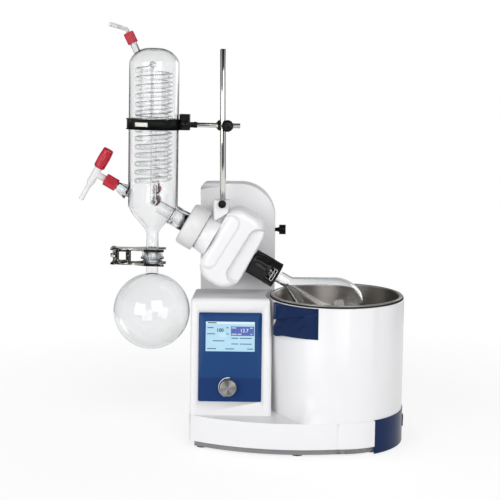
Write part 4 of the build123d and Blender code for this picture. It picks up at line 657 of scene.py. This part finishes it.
def pocket(points):
    """Depth of the deeper hollow at the right, which is open at the head's edge."""
    return hollow(points, (24, -34), (26, 50), 19.0, 2.6, 15.0)


def head_rings(inset, rows):
    """Rings of the cover at a wall's inset: up the side, round the edge and in to the middle."""
    line, normal = block_outline([(-54, 87), (34, 87), (38, -78), (-54, -78)], (29, 39, 40, 38), 220)
    line = line - inset * normal
    # The side rises to the edge's round, which shrinks where the pocket runs out over it.
    edge = (HEAD_EDGE - 0.75 * pocket(line) - inset)[:, None]
    grid = []
    for share in np.linspace(0, 0.94, 5):
        top = head_height(line) - inset - edge[:, 0]
        grid.append(np.column_stack([line, top * share]))
    for angle in np.radians(np.linspace(0, 90, 12)):
        ring = line - edge * (1 - math.cos(angle)) * normal
        top = head_height(ring) - inset - edge[:, 0] * (1 - math.sin(angle))
        grid.append(np.column_stack([ring, top]))
    last = line - edge * normal
    for share in np.linspace(1, 0, rows)[1:]:
        ring = head_middle + (last - head_middle) * share
        grid.append(np.column_stack([ring, head_height(ring) - inset]))
    return np.array(grid)


shell = np.vstack([head_rings(0.0, 44), head_rings(2.5, 16)[::-1]])
u, p, depth = shell[..., 0], shell[..., 1], shell[..., 2]
surface("head_front_shell", [placed(np.stack([-p, -depth, u], axis=-1), spin)], "head", white_abs,
        ["head_front_cover"], sharp=50)

# %% [markdown]
# ## Flask clip
# The clip is a screw sleeve with shallow, slanting finger grooves and three windows.
# In each window a spring of bright wire grips the flask's neck. The sleeve is turned
# with its grooves as a wave in the radius, and the windows are cut by Boolean, which
# is simpler here than to lead a grid round each hole.

# %% Sleeve with windows
def carved(grids, boxes):
    """Mesh of closed grids, less some boxes, cut with Boolean on two helper objects."""
    blank = bpy.data.objects.new("blank", grid_mesh("blank", grids))
    cutter = bpy.data.objects.new("cutter", box_mesh("cutter", boxes))
    for helper in (blank, cutter):
        bpy.context.scene.collection.objects.link(helper)
    cut = blank.modifiers.new("windows", "BOOLEAN")
    cut.object = cutter
    cut.solver = "EXACT"
    seen = bpy.context.evaluated_depsgraph_get()
    mesh = bpy.data.meshes.new_from_object(blank.evaluated_get(seen))
    for helper in (blank, cutter):
        bpy.data.objects.remove(helper)
    return merged(mesh)


def block_corners(x, y, z, place, angle):
    """Eight corners of a box in a frame turned about its z axis."""
    grid = np.stack(np.meshgrid(x, y, z, indexing="ij"), axis=-1).reshape(-1, 3)
    c, s = math.cos(math.radians(angle)), math.sin(math.radians(angle))
    return placed(grid @ np.array([[c, s, 0], [-s, c, 0], [0, 0, 1]]), place)


CLIP_R, CLIP_START, CLIP_END = 27.0, 39.0, 100.0
windows = (-90, 30, 150)
profile = rounded([(17.3, CLIP_START), (CLIP_R, CLIP_START), (CLIP_R, CLIP_END), (17.5, CLIP_END),
                   (17.5, 97), (20.5, 97), (20.5, 58.5), (17.3, 58.5), (17.3, CLIP_START)],
                  1.2, 4)[:-1]
side_rows = np.linspace(CLIP_START + 1.5, CLIP_END - 1.5, 60)
side = np.column_stack([np.full(len(side_rows), CLIP_R), side_rows])
start = int(np.argmax(profile[:, 0] >= CLIP_R - 1e-6))
profile = np.vstack([profile[:start + 1], side, profile[start + 1:]])
sleeve = lathe(profile, (np.zeros(3), np.eye(3)), 180)
turn, along = np.arctan2(sleeve[..., 1], sleeve[..., 0]), sleeve[..., 2]
# Twelve grooves: a cosine of the turn, slanted along the axis and bent by a slow sine.
wave = 0.5 + 0.5 * np.cos(12 * (turn + 0.012 * along) + 1.4 * np.sin(along / 6.5))
reach = step_up(along, 41, 46) * (1 - step_up(along, 70, 78))
outer = np.linalg.norm(sleeve[..., :2], axis=-1) > CLIP_R - 0.01
shrink = 1 - 0.045 * wave * reach * outer
sleeve[..., :2] *= shrink[..., None]
holes = [block_corners((16, 32), (-14, 14), (80, 96.5), spin, angle) for angle in windows]
finished("flask_clip_sleeve", carved([placed(sleeve, spin)], holes), "rotor", clip_nylon,
         ["flask_clip"], sharp=32)

# %% Window springs
SPRING_AWAY, WIRE_R = 21.2, 1.15
line, _ = block_outline([(-12.8, 88.4), (12.8, 88.4), (12.8, 94.4), (-12.8, 94.4)], (2.2,) * 4, 120)
a = np.linspace(0, 2 * np.pi, 12, endpoint=False)[None, :, None]
loops = []
for angle in windows:
    c, s = math.cos(math.radians(angle)), math.sin(math.radians(angle))
    away = np.full(len(line), SPRING_AWAY)
    path = np.stack([c * away - s * line[:, 0], s * away + c * line[:, 0], line[:, 1]], axis=1)
    run = np.roll(path, -1, axis=0) - np.roll(path, 1, axis=0)
    run /= np.linalg.norm(run, axis=1)[:, None]
    outwards = np.array([c, s, 0.0])
    over = np.cross(run, outwards)
    wire = path[:, None] + WIRE_R * (outwards * np.cos(a) + over[:, None] * np.sin(a))
    loops.append(placed(wire, spin))
surface("clip_spring_wires", loops, "rotor", bright_plate, ["clip_springs"], sharp=60)

# %% [markdown]
# ## Bath grips
# Each grip is a thick blue moulding on the jacket. Fingers reach in under its upper
# half: a deep groove rises to the right, and below it a ridge sweeps up to meet it.
# The face is a grid in angle and height whose rows bend along the groove, so the
# sharp step there stays clean; its radius is the plain swell less the scoop.

# %% Grip
GRIP_START, GRIP_END, JACKET_R = -62.0, -16.6, 139.5
GRIP_LOW, GRIP_HIGH = 237.0, 299.5
FACE_R, FACE_SHIFT = 137.0, 13.0


def grip_face(angle, share):
    """Height and radius of the grip's face at an angle and a share of its height.

    The swell is a circle about a shifted axis. The scoop, which is deepest at the groove, a
    short valley near the left end and a slanting slit are taken away from it.
    """
    groove = 263.0 + 0.53 * (angle + 66)
    low = GRIP_LOW - 5.0 * np.exp(-((angle + 58) / 6.0) ** 2)
    below = low + (groove - low) * np.clip(share / 0.6, 0, 1)
    z = np.where(share < 0.6, below, groove + (GRIP_HIGH - groove) * (share - 0.6) / 0.4)
    a = np.radians(angle)
    root = np.sqrt(np.maximum(FACE_R ** 2 - (FACE_SHIFT * np.cos(a)) ** 2, 0))
    swell = -FACE_SHIFT * np.sin(a) + root - JACKET_R
    ridge = 247.0 + 36.0 * np.clip((angle + 49) / 21, 0, 1) ** 1.3
    ridge = np.minimum(ridge, groove - 0.5)
    into = np.clip((groove - z) / (groove - ridge), 0, 1)
    scoop = (swell - 1.4) * (1 - step_up(into, 0.0, 1.0)) * step_up(groove - z, 0.0, 1.6)
    valley = 1.6 * np.exp(-((angle + 60.5) / 1.6) ** 2) * step_up(z, 268, 276)
    right, up = (angle + 31.5) * 2.5, z - 260.5
    away, along = np.abs(right - up * 1.5) / 1.8, right * 0.83 + up * 0.55
    slit = 1.8 * (1 - step_up(away, 0.6, 3.0)) * (1 - step_up(np.abs(along), 9.0, 16.0))
    swell = swell - scoop - valley - np.minimum(slit, swell - 0.8)
    return z, JACKET_R + np.maximum(swell, 0.5)


rows = np.concatenate([np.linspace(0, 0.56, 40), np.linspace(0.565, 0.605, 14),
                       np.linspace(0.61, 1, 26)])
angle, share = np.meshgrid(np.linspace(GRIP_START, GRIP_END, 130), rows)
z, radius = grip_face(angle, share)
edge = np.minimum.reduce([(z - z.min(axis=0)) / 1.5, (GRIP_HIGH - z) / 1.5, (angle - GRIP_START) * 1.6,
                          (GRIP_END - angle) * 1.6 + 0.4])
fall = 1 - np.sqrt(1 - (1 - np.clip(edge, 0, 1)) ** 2)
radius = radius - 0.9 * fall * step_up(radius - JACKET_R, 0.5, 2)
grips = []
for half in (0, 180):
    a = np.radians(angle + half)
    face = np.stack([BATH_X + radius * np.sin(a), -radius * np.cos(a), z], axis=-1)
    inner = np.stack([BATH_X + JACKET_R * np.sin(a), -JACKET_R * np.cos(a), z], axis=-1)
    wall = np.concatenate([face, inner[:, ::-1]], axis=1)
    flat = np.concatenate([inner, inner[:, ::-1]], axis=1)
    grips.append(np.concatenate([flat[:1], wall, flat[-1:]]))
surface("bath_grips", grips, "base", navy_abs, ["bath_handles"],
        loop_rows=False, sharp=38)

# %% [markdown]
# ## Screw caps
# Red caps hold the hose tails and the stopcock. Each has fine ribs round its side so
# that wet fingers can turn it. The ribs are a wave in the radius, as many as fit at
# about 2.2 mm each, and fade out at the cap's rounded ends.

# %% Caps
RIB_WIDTH, RIB_DEPTH = 2.2, 0.055


def ribbed_cap(place, radius, length, hole, neck):
    """Grid of a cap about a frame's z axis, from its open end up to its top."""
    line = rounded([(neck, 0), (radius, 0), (radius, length), (hole, length), (hole, length - 4),
                    (neck, length - 4), (neck, 0)], 1.0, 4)[:-1]
    start = int(np.argmax(line[:, 0] >= radius - 1e-6))
    rows = np.column_stack([np.full(12, radius), np.linspace(1.2, length - 1.2, 12)])
    line = np.vstack([line[:start + 1], rows, line[start + 1:]])
    ribs = int(2 * math.pi * radius / RIB_WIDTH)
    grid = lathe(line, (np.zeros(3), np.eye(3)), ribs * 8)
    turn = np.arctan2(grid[..., 1], grid[..., 0])
    on_side = (np.linalg.norm(grid[..., :2], axis=-1) > radius - 0.01) * (
        step_up(grid[..., 2], 1.5, 3) * (1 - step_up(grid[..., 2], length - 3, length - 1.5)))
    grid[..., :2] *= (1 - RIB_DEPTH * np.abs(np.sin(turn * ribs / 2)) * on_side)[..., None]
    return placed(grid, place)


def shifted(place, distance):
    """A frame moved along its own z axis."""
    return place[0] + distance * place[1][2], place[1]


vent = frame_at(-329.5, upright[0][2] + 305.3, 180 - 64.5)
feed = frame_at(-387.4, upright[0][2] + 42.2, 180 - 30)
ports = [(placed([0, 0, height], upright), np.array([[1.0, 0, 0], [0, 0, -1], [0, 1, 0]]))
         for height in (PORT_AT, 0.0)]
caps = [ribbed_cap(shifted(vent, 21.8), 10.5, 23.0, 4.1, 7.1),
        ribbed_cap(shifted(feed, -13.5), 12.75, 27.0, 7.1, 9.1)]
caps += [ribbed_cap(shifted(port, 53.0), 10.5, 21.0, 4.1, 8.1) for port in ports]
surface("ribbed_screw_caps", caps, "head", red_polyester, ["screw_caps"], sharp=40)

# %% [markdown]
# ## Display
# The screen is lit from behind: pale blue, with a title strip, a framed field and
# plain numbers. The rows of small text are left as bars. All of it lies less than a
# quarter of a millimetre above the glass, and glows a little, as a lit screen does.

# %% Lit colours
def lit(name, code, strength):
    """A glowing colour under a smooth cover glass, with a faint pixel grain."""
    material, tree, out, here = finish(name)
    grain = add(tree, "ShaderNodeTexNoise", {"Vector": (here, "Object"), "Scale": 2500.0})
    rough = add(tree, "ShaderNodeMapRange", {0: (grain, 0), 1: 0.3, 2: 0.7, 3: 0.16, 4: 0.24})
    skin = add(tree, "ShaderNodeBsdfPrincipled", {
        "Base Color": colour("101418"), "Roughness": (rough, 0), "IOR": 1.5,
        "Emission Color": colour(code), "Emission Strength": strength})
    tree.links.new(skin.outputs[0], out.inputs["Surface"])
    return material


screen_blue = lit("backlit_screen", "b9e2f7", 0.95)
screen_pale = lit("backlit_title_strip", "e6f6fd", 0.95)
screen_violet = lit("backlit_field", "5f72bd", 0.95)
screen_white = lit("backlit_number", "ffffff", 1.0)
screen_ink = lit("dark_number", "1b2a44", 0.9)
print("five screen colours")

# %% Screen face
FRONT_Y, FRONT_FOOT, FRONT_RISE, FRONT_LEAN = -95, 70, 233, 40.4
SLOPE = math.atan2(FRONT_LEAN, FRONT_RISE)
leaning = np.array([[1, 0, 0], [0, math.sin(SLOPE), math.cos(SLOPE)],
                    [0, -math.cos(SLOPE), math.sin(SLOPE)]])


def on_front(x, z):
    """Frame on the box's sloping front at a height: y grows by the lean's share of the rise."""
    return np.array([x, FRONT_Y + (z - FRONT_FOOT) / FRONT_RISE * FRONT_LEAN, z]), leaning


front = on_front(-137.0, 227.5)


def tiles(name, plates, low, high, material):
    """Thin flat plates (x, y, width, height) on the sloping front, between two distances from it."""
    corners, span = [], np.array([-0.5, 0.5])
    for x, y, width, height in plates:
        grid = np.meshgrid(x + width * span, y + height * span, (low, high), indexing="ij")
        corners.append(np.stack(grid, axis=-1).reshape(-1, 3))
    finished(name, box_mesh(name, placed(np.array(corners), front)), "base", material)


glass_face = 1.0
tiles("screen_title_strip", [(0, 27.6, 99.0, 4.6)], glass_face, glass_face + 0.06, screen_pale)
tiles("screen_field", [(25.0, 11.1, 47.1, 18.9)], glass_face, glass_face + 0.06, screen_violet)
rows = {17.7: ((-40.1, 12.1), (-5.8, 4.8)), 5.2: ((-38.9, 16.1), (-5.8, 5.6)), -8.9: ((-23.6, 24.2),),
        -3.2: ((9.5, 14.1), (31.6, 24.2)), -14.9: ((9.5, 14.1), (31.6, 24.2)),
        -25.0: ((-37.7, 18.1), (-0.6, 18.5), (40.9, 12.1))}
bars = [(x, y, width, 1.5) for y, row in rows.items() for x, width in row]
tiles("screen_bars", bars + [(-36.9, 27.6, 18, 2.0)], glass_face, glass_face + 0.1, screen_ink)
places = (7.5, 17.6, 9), (43, 17.6, 5), (8, 5.0, 10), (19, 5.0, 8), (43, 5.0, 3)
field_bars = [(x, y, width, 1.3) for x, y, width in places]
tiles("screen_field_bars", field_bars, glass_face + 0.05, glass_face + 0.12, screen_white)

# %% Numbers
def number(text, x, y, height, weight, material):
    """A number as flat mesh, thickened by a weight and scaled to a height, about a point."""
    curve = bpy.data.curves.new("number", "FONT")
    curve.body = text
    curve.extrude = 0.01
    curve.offset = weight
    drawn = bpy.data.objects.new("number", curve)
    bpy.context.scene.collection.objects.link(drawn)
    mesh = bpy.data.meshes.new_from_object(drawn.evaluated_get(bpy.context.evaluated_depsgraph_get()))
    bpy.data.objects.remove(drawn)
    points = np.empty(len(mesh.vertices) * 3)
    mesh.vertices.foreach_get("co", points)
    points = points.reshape(-1, 3)
    low, high = points.min(axis=0), points.max(axis=0)
    points = (points - (low + high) / 2) * height / (high[1] - low[1])
    points[:, 2] = np.sign(points[:, 2]) * 0.05 + glass_face + 0.15
    mesh.vertices.foreach_set("co", (placed(points + [x, y, 0], front) / 1000).ravel())
    finished("number_" + text.replace(".", "_"), merged(mesh), "base", material)


number("100", -20.0, 12.9, 7.2, 0.024, screen_ink)
number("12.7", 29.6, 12.5, 7.0, 0.0, screen_white)

# %% [markdown]
# ## Knob and its arc
# The push-and-turn knob is turned aluminium: its face has circular tool marks, so a
# light makes two bright fans on it. Marks that fine can't be modelled; the shader's
# anisotropy with a tangent that runs round the knob gives the same fans.

# %% Turned aluminium
turned_aluminium, tree, out, here = finish("turned_aluminium")
marks = add(tree, "ShaderNodeTexNoise", {"Vector": (here, "Object"), "Scale": 1400.0})
rough = add(tree, "ShaderNodeMapRange", {0: (marks, 0), 1: 0.3, 2: 0.7, 3: 0.28, 4: 0.38})
round_it = add(tree, "ShaderNodeTangent", direction_type="RADIAL", axis="Y")
skin = add(tree, "ShaderNodeBsdfPrincipled", {
    "Base Color": colour("a3a19e"), "Metallic": 1.0, "Roughness": (rough, 0),
    "Anisotropic": 0.9, "Anisotropic Rotation": 0.25, "Tangent": (round_it, 0)})
tree.links.new(skin.outputs[0], out.inputs["Surface"])
print(turned_aluminium.name)

# %% Knob
knob_place = on_front(-139.5, 126.0)
KNOB_FOOT = 3.2
profile = rounded([(4, KNOB_FOOT), (16.2, KNOB_FOOT), (17, 4.5), (17, 17.0), (15.4, 18.4),
                   (0.0, 18.0)], 0.7, 4)
bottom = [(0.0, KNOB_FOOT)]
surface("turned_knob", [lathe(np.vstack([bottom, profile]), knob_place, 160)], "encoder_knob",
        turned_aluminium, ["encoder_knob"], loop_rows=False, sharp=30)

# %% Arc beside the knob
print_white = moulded("white_screen_print", ("e9eaec", "f2f3f4"), 0.8, 0.1,
                      {"Roughness": 0.4, "IOR": 1.5})
ARC_R, ARC_LOW, ARC_HIGH, ARC_STEPS = 20.4, 0.75, 0.90, 90
sweep = np.radians(np.linspace(82, 250, ARC_STEPS))
width = np.linspace(1.9, 0.7, ARC_STEPS)
inner = (ARC_R - width)[:, None]
ring = np.stack([np.cos(sweep), np.sin(sweep), 0 * sweep], axis=1)
lift = np.array([0, 0, 1.0])
band = np.stack([ARC_R * ring + ARC_HIGH * lift, ARC_R * ring + ARC_LOW * lift,
                 inner * ring + ARC_LOW * lift, inner * ring + ARC_HIGH * lift], axis=1)
ends = [np.repeat(band[i].mean(axis=0)[None], 4, axis=0)[None] for i in (0, -1)]
surface("knob_arc", [placed(np.concatenate([ends[0], band, ends[1]]), knob_place)], "base", print_white,
        loop_rows=False, sharp=30)

# %% [markdown]
# ## Pieces that keep their solid's shape
# The housings, clamps and rods already have the right shape. Their packed faces are
# loose triangles, so a copy is merged first, and then shades smooth over the soft
# rounds and stays crisp at the edges.

# %% Smoothed copies
def carried(material, slot, *nodes, sharp=30):
    """Merged copies of nodes in one material, shaded smooth up to an angle."""
    for node in nodes:
        mesh = merged(frame["nodes"][node].data.copy(), 2e-6, turn_out=False)
        finished(node + "_shape", mesh, body_of[node], material, [node], sharp)


carried(clear_glass, "glass", "condenser", sharp=50)
carried(white_abs, "white_plastic", "base_cover", "bath_jacket", "control_housing", "rear_cover",
        "tower_cover", "head_rear_cover", "head_collar", "rod_holder")

# %% Blue, black and grey pieces
carried(navy_abs, "blue_plastic", "side_cover")
carried(plinth_paint, "plinth_grey", "base_plate")
carried(rubber, "black_rubber", "rubber_feet", "bath_seam_ring")
carried(black_nylon, "black_plastic", "power_switch_frame", "power_rocker", "mains_inlet",
        "tilt_lock_knob", "rod_holder_knob", "boss_head", "boss_knob_front", "boss_knob_rear",
        "ring_clamp", "ring_clamp_knob")
carried(pale_seal, "seal_plastic", "ring_liner", "vapour_seal")

# %% Metal, milky and red pieces
carried(bath_steel, "bath_steel", "bath_vessel")
carried(ground_steel, "steel", "support_rod", "clamp_bar")
carried(bent_plate, "chrome", "joint_clamp")
carried(bright_plate, "chrome", "clamp_screw")
carried(milky, "clear_plastic", "condenser_nut")
carried(tail_milky, "clear_plastic", "hose_tails")
carried(milky, "clear_plastic", "feed_valve_body")
carried(red_polyester, "red_plastic", "valve_knob")
carried(panel_film, "panel_blue", "control_panel")
carried(screen_blue, "screen_glass", "display_screen")

# %% Hidden pieces
# The steel hub is given the clip's black nylon as painted shade, so the slit
# between the head and the clip stays dark.
for node, material in {
    "bath_heater": cast_aluminium, "control_board": green_board, "encoder_stem": ground_steel,
    "guide_rails": ground_steel, "lift_actuator": cast_aluminium, "tower_frame": cast_aluminium,
    "guide_bushes": cast_aluminium, "lift_rod": ground_steel, "head_frame": cast_aluminium,
    "head_motor": cast_aluminium, "motor_pulley": cast_aluminium, "drive_belt": rubber,
    "main_bearings": ground_steel, "rotor_hub": clip_nylon,
}.items():
    frame["nodes"][node].data.materials.clear()
    frame["nodes"][node].data.materials.append(material)
print("hidden pieces painted")
